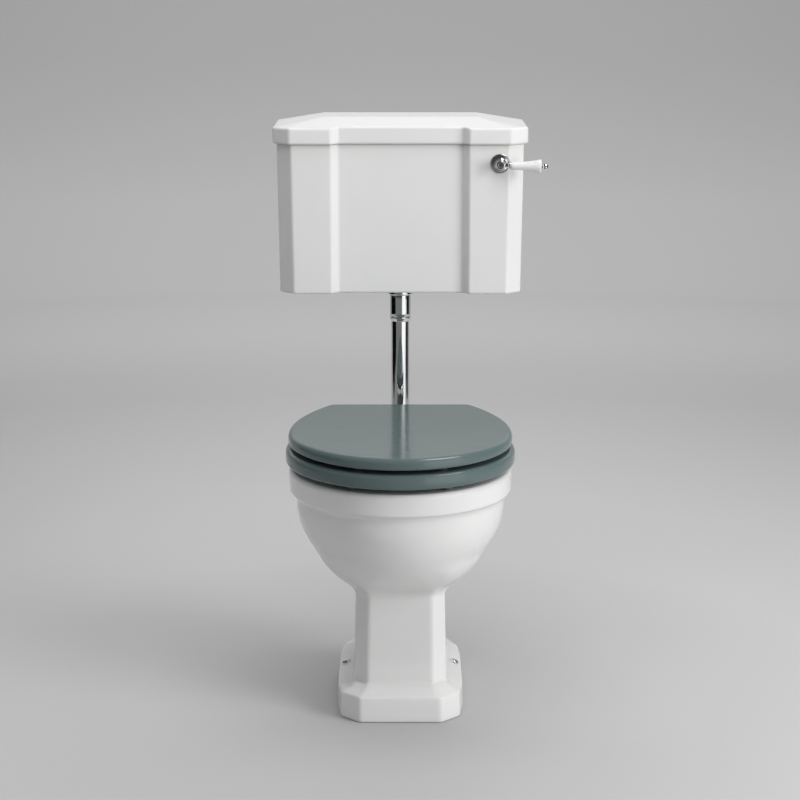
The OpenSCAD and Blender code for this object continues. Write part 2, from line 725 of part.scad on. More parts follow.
siphon_hole_d = siphon_tube_d + 2 * hole_gap;
module cistern() {
    color("white") difference() {
        skin([at_height(cistern_plan(cistern_z, 5), cistern_z), at_height(cistern_plan(cistern_z, 1.5), cistern_z + 1.5),
            at_height(cistern_plan(cistern_z, 0), cistern_z + 5), at_height(cistern_plan(cistern_top_z, 0), cistern_top_z)]);
        skin([at_height(cistern_plan(cistern_floor_z, cistern_wall + 6), cistern_floor_z),
            at_height(cistern_plan(cistern_floor_z, cistern_wall), cistern_floor_z + 6),
            at_height(cistern_plan(cistern_top_z, cistern_wall), cistern_top_z + cut)]);
        translate([0, flush_y, cistern_z - cut]) cylinder(d = siphon_hole_d, h = cistern_floor + 2 * cut);
        translate([-valve_x, wall_y - valve_from_wall, cistern_z - cut]) cylinder(d = tail_d + 2 * hole_gap, h = cistern_floor + 2 * cut);
        tube_y(lever_x, lever_front - 10, lever_front + cistern_wall + 10, lever_z, bush_d + 2 * hole_gap);
        pair() tube_y(wall_hole_x, wall_y - cistern_wall - 5, wall_y + cut, cistern_top_z - wall_hole_down, wall_hole_d);
    }
}

// The two holes through the back for the wall screws
wall_hole_x = 150;
wall_hole_down = 24;
wall_hole_d = 8;

lid_w = cistern_w + 2 * lid_over_side;
lid_d = cistern_d + lid_over_front;
function lid_half(w, d, corner) = [[w / 2 - corner, wall_y - d], [w / 2, wall_y - d + corner], [w / 2, wall_y]];
function lid_plan(t) = rounded(both_sides(lid_half(lid_w - 2 * t, lid_d - t, cistern_corner + 4)), 5, 3);
function lid_flat(t) = rounded(both_sides(lid_half(lid_w - 2 * lid_margin - 2 * t, lid_d - lid_margin - t, 5)), 5, 3);
lid_in = cistern_wall + lid_lip_gap + 7;
module cistern_lid() {
    edge_top = cistern_top_z + lid_edge_h;
    color("white") difference() {
        union() {
            skin([at_height(lid_plan(4), cistern_top_z), at_height(lid_plan(1.2), cistern_top_z + 1.2),
                at_height(lid_plan(0), cistern_top_z + 4), at_height(lid_plan(0), edge_top - 3),
                at_height(lid_plan(0.8), edge_top - 1), at_height(lid_plan(3), edge_top + 0.2), at_height(lid_flat(0), lid_top_z)]);
            translate([0, 0, cistern_top_z - lid_lip_h]) linear_extrude(height = lid_lip_h + 1)
                polygon(cistern_plan(cistern_top_z, cistern_wall + lid_lip_gap));
        }
        translate([0, 0, cistern_top_z - lid_lip_h - cut]) linear_extrude(height = lid_lip_h + lid_edge_h - lid_top_t + cut)
            polygon(cistern_plan(cistern_top_z, lid_in));
        translate([0, 0, cistern_top_z - cut]) linear_extrude(height = lid_edge_h + lid_rise + 2 * cut) polygon(lid_notch());
    }
}

// The sunk panel carried up through the lid's front
function lid_notch() =
    let (front = wall_y - lid_d, x = panel_w / 2, far = 20, far_x = x + far * panel_slope / panel_depth)
    [[-x + panel_slope, front + panel_depth], [-far_x, front - far], [far_x, front - far], [x - panel_slope, front + panel_depth]];

flush_tail_d = siphon_tube_d;
sleeve_z = cistern_z - flush_nut_h - sleeve_l;
module flush_nut() {
    color("silver") translate([0, flush_y, cistern_z - flush_nut_h]) difference() {
        union() {
            cylinder(d = flush_nut_d - 3, h = flush_nut_h);
            translate([0, 0, 2]) cylinder(d = flush_nut_d, h = flush_nut_h - 3);
        }
        translate([0, 0, -cut]) cylinder(d = flush_tail_d + 0.2, h = flush_nut_h + 2 * cut);
    }
}

module flush_sleeve() {
    color("silver") translate([0, flush_y, sleeve_z]) difference() {
        cylinder(d = sleeve_d, h = sleeve_l);
        translate([0, 0, 10]) cylinder(d = flush_tail_d + 0.2, h = sleeve_l);
        translate([0, 0, -cut]) cylinder(d = pipe_d + 0.2, h = sleeve_l);
    }
}

module flush_olive() {
    color("silver") translate([0, flush_y, sleeve_z - olive_h]) rotate_extrude() difference() {
        union() {
            translate([0, 0]) square([sleeve_d / 2 - 0.8, olive_h]);
            translate([sleeve_d / 2 - 1.6, olive_h / 2]) circle(d = olive_h * 0.8, $fn = 24);
        }
        translate([-sleeve_d, -cut]) square([sleeve_d + pipe_d / 2 + 0.1, olive_h + 2 * cut]);
    }
}

pipe_top_z = sleeve_z + 9;
pipe_end_y = deck_back + horn_out - 20;
module flush_pipe_solid(d, over) {
    translate([0, flush_y, horn_z + pipe_bend_r]) cylinder(d = d, h = pipe_top_z - horn_z - pipe_bend_r + over);
    translate([0, flush_y - pipe_bend_r, horn_z + pipe_bend_r]) rotate([90, 0, 90]) rotate([0, 0, -90])
        rotate_extrude(angle = 90) translate([pipe_bend_r, 0]) circle(d = d);
    tube_y(0, pipe_end_y - over, flush_y - pipe_bend_r, horn_z, d);
}

module flush_pipe() {
    color("silver") difference() {
        flush_pipe_solid(pipe_d, 0);
        flush_pipe_solid(pipe_d - 2 * pipe_wall, cut);
    }
}

module flush_cone() {
    y = deck_back + horn_out;
    color("dimgray") difference() {
        union() {
            tube_y(0, y - 22, y, horn_z, horn_bore - 0.4);
            tube_y(0, y, y + 6, horn_z, horn_d + 4);
            tube_y(0, y + 6, y + 12, horn_z, horn_d - 12);
        }
        tube_y(0, y - 23, y + 15, horn_z, pipe_d + 0.2);
    }
}

bell_x = bell_d / 2 + 16;
riser_x = 40;
bend_r = riser_x / 2;
crown_z = cistern_floor_z + crown_h - siphon_tube_d / 2 - bend_r;
bell_z = cistern_floor_z + 14;
bell_top_z = bell_z + bell_h;
siphon_in_d = siphon_tube_d - 2 * siphon_wall;
rod_x = lever_x - inner_arm;
lift_rod_d = 5;

module siphon_tubes(d, over) {
    translate([0, flush_y, pipe_top_z + 2 - over]) cylinder(d = d, h = crown_z - pipe_top_z - 2 + over);
    translate([riser_x, flush_y, bell_top_z - over]) cylinder(d = d, h = crown_z - bell_top_z + over);
    translate([bend_r, flush_y, crown_z]) rotate([90, 0, 0]) rotate_extrude(angle = 180) translate([bend_r, 0]) circle(d = d);
}

module siphon_body() {
    color("whitesmoke") difference() {
        union() {
            siphon_tubes(siphon_tube_d, 0);
            translate([bell_x, flush_y, bell_z]) cylinder(d = bell_d, h = bell_h + siphon_wall);
            translate([0, flush_y, cistern_floor_z + 3]) cylinder(d = siphon_tube_d + 20, h = 5);
        }
        siphon_tubes(siphon_in_d, siphon_wall + cut);
        translate([bell_x, flush_y, bell_z - cut]) cylinder(d = bell_d - 2 * siphon_wall, h = bell_h + cut);
        translate([rod_x, flush_y, bell_top_z - cut]) cylinder(d = lift_rod_d + 3, h = siphon_wall + 2 * cut);
    }
}

module siphon_washer() {
    color("dimgray") translate([0, flush_y, cistern_floor_z]) difference() {
        cylinder(d = siphon_tube_d + 22, h = 3);
        translate([0, 0, -cut]) cylinder(d = siphon_tube_d + 0.2, h = 3 + 2 * cut);
    }
}

plunger_z = bell_z + 8;
plunger_d = bell_d - 2 * siphon_wall - 3;
module plunger_plate() {
    color("lightgray") translate([bell_x, flush_y, plunger_z]) difference() {
        cylinder(d = plunger_d, h = 3);
        for (a = [45:90:315]) rotate(a) translate([plunger_d * 0.28, 0, -cut]) cylinder(d = 16, h = 3 + 2 * cut);
    }
}

module plunger_diaphragm() {
    color("dimgray") translate([bell_x, flush_y, plunger_z + 3]) difference() {
        cylinder(d = plunger_d - 3, h = 1.5);
        translate([rod_x - bell_x, 0, -cut]) cylinder(d = lift_rod_d + 2, h = 1.5 + 2 * cut);
    }
}

// The lift rod ends in a plate with a slot, in which the inner arm's pin slides as it swings
arm_rest = lever_travel / 2 + 2;
pin_d = 5;
pin_z = lever_z - inner_arm * sin(arm_rest);
slot_w = 14;
module lift_rod() {
    color("silver") {
        translate([rod_x, flush_y, plunger_z + 3]) cylinder(d = lift_rod_d, h = pin_z - plunger_z - 3 - pin_d);
        difference() {
            translate([rod_x - slot_w / 2 - 3, flush_y - 1.5, pin_z - pin_d - 1]) cube([slot_w + 6, 3, 2 * pin_d + 2]);
            translate([rod_x - slot_w / 2, flush_y - 3, pin_z - pin_d / 2 - 0.6]) cube([slot_w, 6, pin_d + 1.2]);
        }
    }
}

bush_d = 12;
bush_out = handle_out - 14;
module lever_bush() {
    color("silver") difference() {
        union() {
            translate([lever_x, lever_front - 0.6, lever_z]) rotate([90, 0, 0]) rotate_extrude()
                polygon([[0, 0], [rose_d / 2, 0], [rose_d / 2, 1.2], [rose_d / 2 - 1, 2.4], [rose_d / 2 - 5, 3.6], [9.5, 4.8], [8, 8], [8, bush_out], [0, bush_out]]);
            tube_y(lever_x, lever_front - 1, lever_front + cistern_wall + 9, lever_z, bush_d);
        }
        tube_y(lever_x, lever_front - bush_out - 2, lever_front + cistern_wall + 10, lever_z, spindle_d + 2 * run_gap);
    }
}

module lever_back_nut() {
    color("darkgoldenrod") translate([lever_x, lever_front + cistern_wall + 6, lever_z]) rotate([90, 0, 0])
        hex_nut(20, bush_d + 0.2, 6 - 2 * seat_gap);
}

// Places its children at the handle's start, along the handle, which hangs a little
handle_droop = 2.2;
module along_handle() {
    translate([lever_x, handle_y, lever_z]) rotate([0, 90 + handle_droop, 0]) children();
}

neck_l = 17;
module lever_spindle() {
    color("silver") {
        tube_y(lever_x, handle_y, lever_front + cistern_wall + 26, lever_z, spindle_d);
        translate([lever_x, lever_front - 0.6 - bush_out - 0.4, lever_z]) rotate([90, 0, 0]) rotate_extrude()
            polygon([[0, 0], [7, 0], [8, 1.5], [8, 15], [7, 18], [4.5, 20], [0, 20.5]]);
        along_handle() {
            cylinder(d = 7.5, h = neck_l);
            translate([0, 0, neck_l - 4.2]) rotate_extrude() union() {
                square([5.2, 4.2]);
                translate([4.6, 2.1]) circle(d = 3.6, $fn = 24);
            }
        }
    }
}

module lever_handle() {
    color("white") along_handle() translate([0, 0, neck_l]) rotate_extrude()
        polygon([[0, 0], [handle_d1 / 2 - 1.5, 0], [handle_d1 / 2, 1.5], [handle_d1 / 2 + 0.5, handle_l * 0.3],
            [handle_d2 / 2 - 3, handle_l * 0.7], [handle_d2 / 2 - 0.4, handle_l * 0.92], [handle_d2 / 2, handle_l - 2.5],
            [handle_d2 / 2 - 0.6, handle_l - 0.8], [handle_d2 / 2 - 2.2, handle_l], [0, handle_l]]);
}

module lever_finial() {
    color("silver") along_handle() translate([0, 0, neck_l + handle_l]) {
        cylinder(d = 9, h = 1.6);
        cylinder(d = 5, h = 5);
        translate([0, 0, 6.4]) sphere(d = 11.2);
    }
}

arm_y = lever_front + cistern_wall + 21;
module lever_inner_arm() {
    tip = [lever_x - inner_arm * cos(arm_rest), flush_y - 12, pin_z];
    color("darkgoldenrod") difference() {
        union() {
            tube_y(lever_x, arm_y - 5, arm_y + 5, lever_z, 15);
            rod([lever_x, arm_y, lever_z], tip, 6);
            translate(tip) sphere(d = 7);
            rod(tip, [tip[0], flush_y + 8, tip[2]], pin_d);
        }
        tube_y(lever_x, arm_y - 8, arm_y + 8, lever_z, spindle_d + 0.1);
    }
}

valve_y = wall_y - valve_from_wall;
barrel_z = cistern_floor_z + valve_h;
barrel_d = 24;
valve_flange_d = tail_d + 13.2;
valve_nut_h = 6;
piston_d = 14;
barrel_x1 = -valve_x - 26;
barrel_x2 = -valve_x + 20;
pivot_x = barrel_x2 + 4;
finger_l = 14;
pivot_z = barrel_z - finger_l;
pivot_pin_d = 4;
module fill_valve() {
    color("darkgoldenrod") difference() {
        union() {
            translate([-valve_x, valve_y, cistern_z - tail_out]) cylinder(d = tail_d, h = tail_out - valve_nut_h - 0.5);
            translate([-valve_x, valve_y, cistern_z - tail_out + 2]) cylinder(d = tail_d - 0.4, h = cistern_floor + tail_out + 2);
            translate([-valve_x, valve_y, cistern_floor_z + 3]) cylinder(d = valve_flange_d, h = 4);
            translate([-valve_x, valve_y, cistern_floor_z + 6]) cylinder(d = 18, h = valve_h - 6);
            tube_x(barrel_x1, barrel_x2, valve_y, barrel_z, barrel_d);
            for (s = [-1, 1]) translate([barrel_x2 - 12, valve_y + s * 9 - 1.5, pivot_z - 5]) cube([21, 3, 16]);
        }
        tube_x(barrel_x1 + 6, barrel_x2 + cut, valve_y, barrel_z, piston_d);
        translate([-valve_x, valve_y, cistern_z - tail_out - cut]) cylinder(d = 12, h = valve_h + cistern_floor + tail_out - 2);
        tube_y(pivot_x, valve_y - 20, valve_y + 20, pivot_z, pivot_pin_d + 0.2);
        translate([pivot_x - 9, valve_y - 7.8, pivot_z - 9]) cube([30, 15.6, 12]);
    }
}

module fill_valve_washer() {
    color("dimgray") translate([-valve_x, valve_y, cistern_floor_z]) difference() {
        cylinder(d = valve_flange_d, h = 3);
        translate([0, 0, -cut]) cylinder(d = tail_d + 0.2, h = 3 + 2 * cut);
    }
}

module fill_valve_nut() {
    color("darkgoldenrod") translate([-valve_x, valve_y, cistern_z - valve_nut_h]) hex_nut(30, tail_d + 0.2, valve_nut_h);
}

finger_lean = float_travel / 2;
finger_x = pivot_x + finger_l * sin(finger_lean);
piston_slot = 7;
module valve_piston() {
    color("darkgoldenrod") difference() {
        tube_x(barrel_x1 + 17, finger_x + piston_slot / 2 + 3, valve_y, barrel_z, piston_d - 2 * run_gap);
        translate([finger_x - piston_slot / 2, valve_y - piston_slot / 2, barrel_z - piston_d])
            cube([piston_slot, piston_slot, 2 * piston_d]);
    }
}

module float_pin() {
    color("silver") tube_y(pivot_x, valve_y - 11.5, valve_y + 11.5, pivot_z, pivot_pin_d);
}

module float_arm() {
    pivot = [pivot_x, valve_y, pivot_z];
    ball = pivot + float_reach * [cos(float_travel), 0, -sin(float_travel)];
    arm_end = lerp(ball, pivot, (float_d / 2 - 1) / float_reach);
    color("darkgoldenrod") difference() {
        union() {
            tube_y(pivot_x, valve_y - 6.5, valve_y + 6.5, pivot_z, 10);
            rod(pivot, arm_end, 5);
            rod(pivot, [finger_x, valve_y, pivot_z + finger_l * cos(finger_lean)], 2.6);
            translate([finger_x, valve_y, pivot_z + finger_l * cos(finger_lean)]) sphere(d = 6.2);
        }
        tube_y(pivot_x, valve_y - 10, valve_y + 10, pivot_z, pivot_pin_d + 2 * run_gap);
        translate(ball) sphere(d = float_d + 0.02);
    }
}

module float_ball() {
    pivot = [pivot_x, valve_y, pivot_z];
    color("peru") translate(pivot + float_reach * [cos(float_travel), 0, -sin(float_travel)]) sphere(d = float_d);
}

pan();
floor_screws();
floor_screw_sleeves();
floor_screw_caps();
hinge_posts();
hinge_rod();
hinge_bolts();
hinge_washers();
hinge_nuts();
seat_ring();
ring_straps();
ring_strap_screws();
ring_buffers();
seat_lid();
lid_straps();
lid_strap_screws();
lid_buffers();
cistern();
cistern_lid();
flush_nut();
flush_sleeve();
flush_olive();
flush_pipe();
flush_cone();
siphon_body();
siphon_washer();
plunger_plate();
plunger_diaphragm();
lift_rod();
lever_bush();
lever_back_nut();
lever_spindle();
lever_handle();
lever_finial();
lever_inner_arm();
fill_valve();
fill_valve_washer();
fill_valve_nut();
valve_piston();
float_pin();
float_arm();
float_ball();
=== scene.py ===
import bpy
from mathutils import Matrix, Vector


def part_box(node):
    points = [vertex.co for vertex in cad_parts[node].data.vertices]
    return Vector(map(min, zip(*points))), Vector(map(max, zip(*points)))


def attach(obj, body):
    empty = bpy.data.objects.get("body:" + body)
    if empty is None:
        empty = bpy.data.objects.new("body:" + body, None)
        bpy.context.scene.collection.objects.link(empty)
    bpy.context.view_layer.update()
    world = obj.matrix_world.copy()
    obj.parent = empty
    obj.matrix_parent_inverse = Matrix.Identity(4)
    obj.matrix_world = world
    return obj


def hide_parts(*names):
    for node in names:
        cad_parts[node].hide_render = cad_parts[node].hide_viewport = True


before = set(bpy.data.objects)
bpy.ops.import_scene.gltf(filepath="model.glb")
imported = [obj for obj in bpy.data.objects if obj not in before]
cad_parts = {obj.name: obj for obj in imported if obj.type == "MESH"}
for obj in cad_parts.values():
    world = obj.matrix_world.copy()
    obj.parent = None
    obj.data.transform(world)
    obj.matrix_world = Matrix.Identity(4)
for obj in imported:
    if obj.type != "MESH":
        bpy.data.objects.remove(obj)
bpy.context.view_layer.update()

import math

import bpy
from mathutils import Vector

# Pan
# One casting of vitreous china with a clear glaze over white slip. It is fired standing on its foot,
# so the foot's underside stays bare, and the rim, bowl and pedestal run into each other in soft curves.


def clamp(value):
    return min(max(value, 0.0), 1.0)


def between(a, b, share):
    return a + (b - a) * share


def along(s, stations):
    """Point on a line through stations (s, x, y), carried on past its ends."""
    for (s1, x1, y1), (s2, x2, y2) in zip(stations, stations[1:]):
        if s <= s2:
            break
    share = (s - s1) / (s2 - s1)
    return between(x1, x2, share), between(y1, y2, share)


def mean(points):
    return sum(x for x, y in points) / len(points), sum(y for x, y in points) / len(points)


def eased(stations, s, reach):
    """The same line with its corners rubbed round."""
    return mean([along(s + reach * k / 4, stations) for k in range(-4, 5)])


def egg(s, w, front, back, around, corner=16):
    """Rim plan from the front centre, s = 0, to the back centre, s = 22: an ellipse to s = 10, then sides
    that draw in, and a rounded back corner from s = 16 to 19."""
    if s <= 10:
        turn = math.radians(9 * s)
        return w * math.sin(turn), -front * math.cos(turn)
    power = 2.05
    straight = back - corner
    end = w * (1 - (back / around) ** power)
    if s <= 16:
        d = straight * (s - 10) / 6
        return w * (1 - (d / around) ** power), d
    if s <= 19:
        t = (s - 16) / 3
        start = w * (1 - (straight / around) ** power)
        x = (1 - t) ** 2 * start + 2 * t * (1 - t) * end + t * t * (end - corner)
        return x, (1 - t) ** 2 * straight + (2 * t * (1 - t) + t * t) * back
    return (end - corner) * (22 - s) / 3, back


def cut_plan(s, w, front, back, corner):
    """Pedestal plan with four cut corners."""
    stations = ((0, 0, -front), (4, w - corner, -front), (8, w, corner - front), (16, w, back - corner),
                (19, w - corner, back), (22, 0, back))
    return eased(stations, s, 0.42)


foot_w, foot_front, foot_back = 104, 170.5, 158
foot_cut = 66.5                                 # half the width of the foot's front between its cut corners


def foot_plan(s, inset):
    """Foot plan: cut front corners, straight sides, and a narrower back."""
    w, f, b = foot_w - inset, foot_front - inset, foot_back - inset
    stations = ((0, 0, -f), (4, foot_cut - 0.4 * inset, -f), (8, w - 6, 0.6 * inset - 140), (9.5, w, -90),
                (14, w, 56), (16, w - 3, 104), (18.3, w - 23, b - 5), (19, w - 28, b), (22, 0, b))
    return eased(stations, s, 0.3)


rim_w, rim_front, rim_back = 182.5, 202, 245    # half the rim's width, its reach to the front and to the back
rim_y = -53                                     # where rim and bowl are widest
draw_in = 338                                   # the reach at which the rim's sides would meet


def oval(s, w, front, back, centre=rim_y):
    """Plan of the openings, with its points in the directions of the rim's points."""
    x, y = egg(s, rim_w, rim_front, rim_back, draw_in)
    turn = math.radians(9 * s) if s <= 10 else math.pi / 2 + math.atan2(y / rim_back, x / rim_w)
    return w * math.sin(turn), centre - (front if turn < math.pi / 2 else back) * math.cos(turn)


bowl_top = 354                                  # where the bowl meets the band under the rim
bowl_w, bowl_front, bowl_back = 170.7, 193, 201         # the bowl's outside, at that height
neck_z, neck_w = 210, 73                        # the narrowest place, between bowl and pedestal
pedestal_z, pedestal_w = 54, 76                 # where the pedestal meets the foot
pedestal_front, pedestal_back = 82, 135
throat_z, throat_w, throat_back = 178, 42, 58   # where the bowl's inside meets its outlet
inner_w, inner_front, inner_back = 161.5, 181, 189      # the bowl's inside, at its top


def pan_plan(s, z):
    """Outside of pedestal and bowl at a height."""
    share = 1 - clamp((bowl_top - z) / 143.7) ** 2.25
    step = 6 * clamp((z - bowl_top) / 13) ** 2
    if z < neck_z:
        w = between(pedestal_w, neck_w, clamp((z - pedestal_z) / (neck_z - pedestal_z)))
    else:
        w = between(neck_w, bowl_w, share) + 1.4 * step
    front = between(pedestal_front, bowl_front, share) + step
    back = between(pedestal_back, bowl_back, share)
    sharp = cut_plan(s, w, front, back, 21.5 * w / neck_w)
    soft = egg(s, w, front, back, back * draw_in / rim_back)
    roundness = clamp((z - 208) / 66)
    return between(sharp[0], soft[0], roundness), between(sharp[1], soft[1], roundness) + rim_y


def neck_plan(s, z):
    """The same outside, with the crease at the neck drawn into a soft hollow."""
    return mean([pan_plan(s, z + k) for k in (-9, -4.5, 0, 4.5, 9)])


def rim_plan(s, inset):
    x, y = egg(s, rim_w - inset, rim_front - inset, rim_back - inset, draw_in)
    return x, y + rim_y


def bowl_plan(s, z):
    """Inside of the bowl at a height: round above, and drawn in to the throat below."""
    power = between(1.05, 1.93, clamp((z - 205) / 75))
    share = 1 - clamp((bowl_top - z) / (bowl_top - throat_z)) ** power
    return oval(s, between(throat_w, inner_w, share), between(throat_w, inner_front, share),
                between(throat_back, inner_back, share ** 1.4))


def lip_plan(s, grow):
    return oval(s, inner_w + grow, inner_front + grow, inner_back + grow)


def opening_plan(s, grow):
    """The rim's opening, which is smaller all round than the bowl under it."""
    return oval(s, 144.5 + grow, 160 + grow, 168 + grow)


foot_z, foot_rise, foot_run = 43.6, 10.4, 25    # the foot's top slopes up to the pedestal from this height
foot_lip = 5                                    # how far in from the foot's edge the slope begins


def slope_z(x, y):
    """Height of the foot's sloping top at a place: it rises with the depth in from the nearest edge. The
    cut front corners and the narrowing back are slanted edges, each given by the direction across it."""
    front_cut = ((foot_cut - x) * 30.5 + (y + foot_front) * 31.5) / 43.85
    back_cut = ((foot_w - 3 - x) * 49 + (104 - y) * 20) / 52.9
    depth = min(foot_w - x, y + foot_front, foot_back - y, front_cut, back_cut)
    return foot_z + foot_rise * clamp((depth - foot_lip) / foot_run)


mm = 0.001                                      # pieces are drawn in millimetres, and Blender takes metres
weld = 0.000002                                 # metres between points that are one


def drawn(name, rings):
    """A closed skin through rings of points: a flat grid wrapped into a sleeve, seamed and capped."""
    rounds, rows = len(rings[0]), len(rings) - 1
    bpy.ops.object.select_all(action="DESELECT")
    bpy.ops.mesh.primitive_grid_add(x_subdivisions=rounds, y_subdivisions=rows, size=2)
    piece = bpy.context.object
    piece.name = piece.data.name = name
    for vertex in piece.data.vertices:
        column = round((vertex.co.x + 1) / 2 * rounds) % rounds
        row = round((vertex.co.y + 1) / 2 * rows)
        vertex.co = Vector(rings[row][column]) * mm
    bpy.ops.object.mode_set(mode="EDIT")
    bpy.ops.mesh.select_all(action="SELECT")
    bpy.ops.mesh.remove_doubles(threshold=weld)
    bpy.ops.mesh.fill_holes(sides=0)
    bpy.ops.mesh.select_all(action="SELECT")
    bpy.ops.mesh.normals_make_consistent(inside=False)
    bpy.ops.object.mode_set(mode="OBJECT")
    return piece


def mirrored(half):
    """Both halves of a ring whose right half runs from the front centre to the back centre."""
    return half + [(-x, y, z) for x, y, z in reversed(half[1:-1])]


def stepped(front, side, corner, back):
    """Places along half a plan, with so many steps to a unit of s at its front, side, corner and back."""
    places = [k / front for k in range(10 * front + 1)] + [10 + k / side for k in range(1, 6 * side + 1)]
    places += [16 + k / corner for k in range(1, 3 * corner + 1)]
    return places + [19 + k / back for k in range(1, 3 * back + 1)]


pan_steps = stepped(5, 4, 4, 2)


def pan_ring(z, plan, *sizes, steps=pan_steps):
    """A ring at a height, of a plan and the sizes that the plan takes."""
    return mirrored([(x, y, z) for x, y in [plan(s, *sizes) for s in steps]])


def inner_pedestal(s):
    x, y = cut_plan(s, 61, 70, 123, 19)
    return x, y + rim_y


def pedestal_edge(s, out):
    """Lower edge of the pedestal, let out for the hollow curve where it meets the foot."""
    corner = 22.4 + 0.586 * out                 # so the cut corners are let out as far as the sides
    x, y = cut_plan(s, pedestal_w + out, pedestal_front + out, pedestal_back + out, corner)
    return x, y + rim_y


# The skin starts in the hollow foot and runs down, out under it, and up the outside.
pan_rings = [pan_ring(z, inner_pedestal) for z in (142, 90, 37)]
foot_edge = ((15, 35), (15, 3), (14.4, 1), (13, 0), (3.4, 0), (1.9, 0.4), (0.8, 1.3), (0.2, 2.7), (0.1, 4.5),
             (0.35, 14), (0.7, 28), (1.0, 39), (1.15, 40.3), (1.6, 41.5), (2.4, 42.5), (3.6, 43.25),
             (5, 43.65), (6.4, 44.2), (12, 46.5), (18, 49))
pan_rings += [pan_ring(z, foot_plan, inset) for inset, z in foot_edge]
hollow = 5
landing = [pedestal_edge(s, hollow) for s in pan_steps]
for turn in range(0, 91, 15):
    out = hollow * (1 - math.sin(math.radians(turn)))
    up = hollow * (1 - math.cos(math.radians(turn)))
    edge = [pedestal_edge(s, out) for s in pan_steps]
    pan_rings.append(mirrored([(x, y, slope_z(u, v) + up) for (x, y), (u, v) in zip(edge, landing)]))
outside = [(pan_plan, z) for z in (62, 75, 95, 115, 135, 155, 170, 183, 193)]
outside += [(neck_plan, z) for z in (198, 201, 203.5, 206, 208.5, 211, 213.5, 216, 219, 222)]
outside += [(pan_plan, z) for z in (226, 230, 234, 238, 242.5, 247, 252, 257, 261, 268, 276, 284, 292, 300,
                                    308, 316, 324, 332, 340, 347, 354, 356.5, 359, 361, 363, 365, 366.5)]
pan_rings += [pan_ring(z, plan, z) for plan, z in outside]

rim_top = 403.5

# The rim's outer edge is given by inset and height. Its opening, the flushing channel under it and the
# bowl's lip follow, by how much each is wider than the oval of the opening or of the bowl.
rim_edge = ((3.2, 367), (2.2, 367.2), (1.5, 367.7), (1.1, 368.6), (0.95, 370), (0.6, 380), (0.2, 394),
            (0.2, 396.5), (0.5, 398.6), (1.2, 400.4), (2.3, 401.9), (3.7, 402.9), (5.2, 403.4), (7, rim_top),
            (9, rim_top))
pan_rings += [pan_ring(z, rim_plan, inset) for inset, z in rim_edge]
opening = ((9, rim_top), (7, rim_top), (5, 403.3), (3.2, 402.6), (1.6, 401.4), (0.5, 399.8), (0, 397.5),
           (0, 392), (0, 372), (0, 366.5), (0.4, 365), (1.4, 364), (2.8, 363.5), (5.2, 363.5), (6.6, 364),
           (7.6, 365), (8, 366.5), (8, 378), (8, 389.5), (9, 391), (11, 391.5))
pan_rings += [pan_ring(z, opening_plan, grow) for grow, z in opening]
lip = ((6, 391.5), (7.6, 390.5), (8, 389), (8, 380), (7.6, 370), (4.2, 363), (1.2, 357))
pan_rings += [pan_ring(z, lip_plan, grow) for grow, z in lip]
inside = (bowl_top, 348, 341, 333, 325, 316, 307, 298, 289, 280, 271, 262, 253, 245, 237, 230, 223, 216, 210,
          204, 199, 194, 190, 186, 183, 180, throat_z)
pan_rings += [pan_ring(z, bowl_plan, z) for z in inside]
pan_rings += [pan_ring(174, oval, 38, 38, 53), pan_ring(168, oval, 34, 34, 50)]
pan = drawn("pan_china", pan_rings)

# The trap and the outlet are cast with the pan: legs and bends round the waterway, down from the bowl,
# up over the weir and back into the spigot. The same legs, thinner, cut the waterway itself.
outlet_z, inlet_z = 190, 352
trap_d, trap_bore = 100, 76


def leg(start, end, d):
    """A round leg between two points of the trap."""
    a, b = Vector(start) * mm, Vector(end) * mm
    bpy.ops.mesh.primitive_cylinder_add(vertices=96, radius=d / 2 * mm, depth=(b - a).length,
                                        location=(a + b) / 2,
                                        rotation=(b - a).to_track_quat("Z", "Y").to_euler())
    return bpy.context.object


def bend(centre, d):
    bpy.ops.mesh.primitive_uv_sphere_add(segments=96, ring_count=48, radius=d / 2 * mm,
                                         location=Vector(centre) * mm)
    return bpy.context.object


def chosen(piece):
    """Selects one piece alone."""
    bpy.ops.object.select_all(action="DESELECT")
    piece.select_set(True)
    bpy.context.view_layer.objects.active = piece


def joined(parts, name):
    """Several parts as one object, with its place in its mesh."""
    chosen(parts[0])
    for part in parts[1:]:
        part.select_set(True)
    if len(parts) > 1:
        bpy.ops.object.join()
    bpy.ops.object.transform_apply(location=True, rotation=True, scale=True)
    bpy.context.object.name = bpy.context.object.data.name = name
    return bpy.context.object


def modified(piece, kind, **settings):
    """Adds a modifier to a piece and applies it."""
    chosen(piece)
    modifier = piece.modifiers.new(kind.lower(), kind)
    for key, value in settings.items():
        setattr(modifier, key, value)
    bpy.ops.object.modifier_apply(modifier=modifier.name)
    return piece


def fused(parts, name, voxel, passes):
    """Parts melted into one skin, with the hollow curves that slip and glaze leave in the corners."""
    piece = joined(parts, name)
    modified(piece, "REMESH", mode="VOXEL", voxel_size=voxel)
    return modified(piece, "SMOOTH", factor=0.5, iterations=passes)


trap_path = [(0, -40, 182), (0, -38, 94), (0, 28, 91), (0, 106, 214), (0, 134, outlet_z)]
trap_legs = list(zip(trap_path, trap_path[1:]))
trap = [leg(a, b, trap_d) for a, b in trap_legs[1:]] + [leg((0, -40, 160), trap_path[1], 98)]
trap += [bend(p, trap_d + 0.6) for p in trap_path[1:4]]
trap += [leg((0, 116, outlet_z), (0, 205, outlet_z), 98), leg((0, 167, outlet_z), (0, 211, outlet_z), 102)]
trap = fused(trap, "trap_outside", 0.0032, 9)
horn = [leg((0, 142, inlet_z), (0, 201, inlet_z), 59), leg((0, 150, inlet_z), (0, 168, inlet_z), 66)]
horn = fused(horn, "horn", 0.0024, 9)

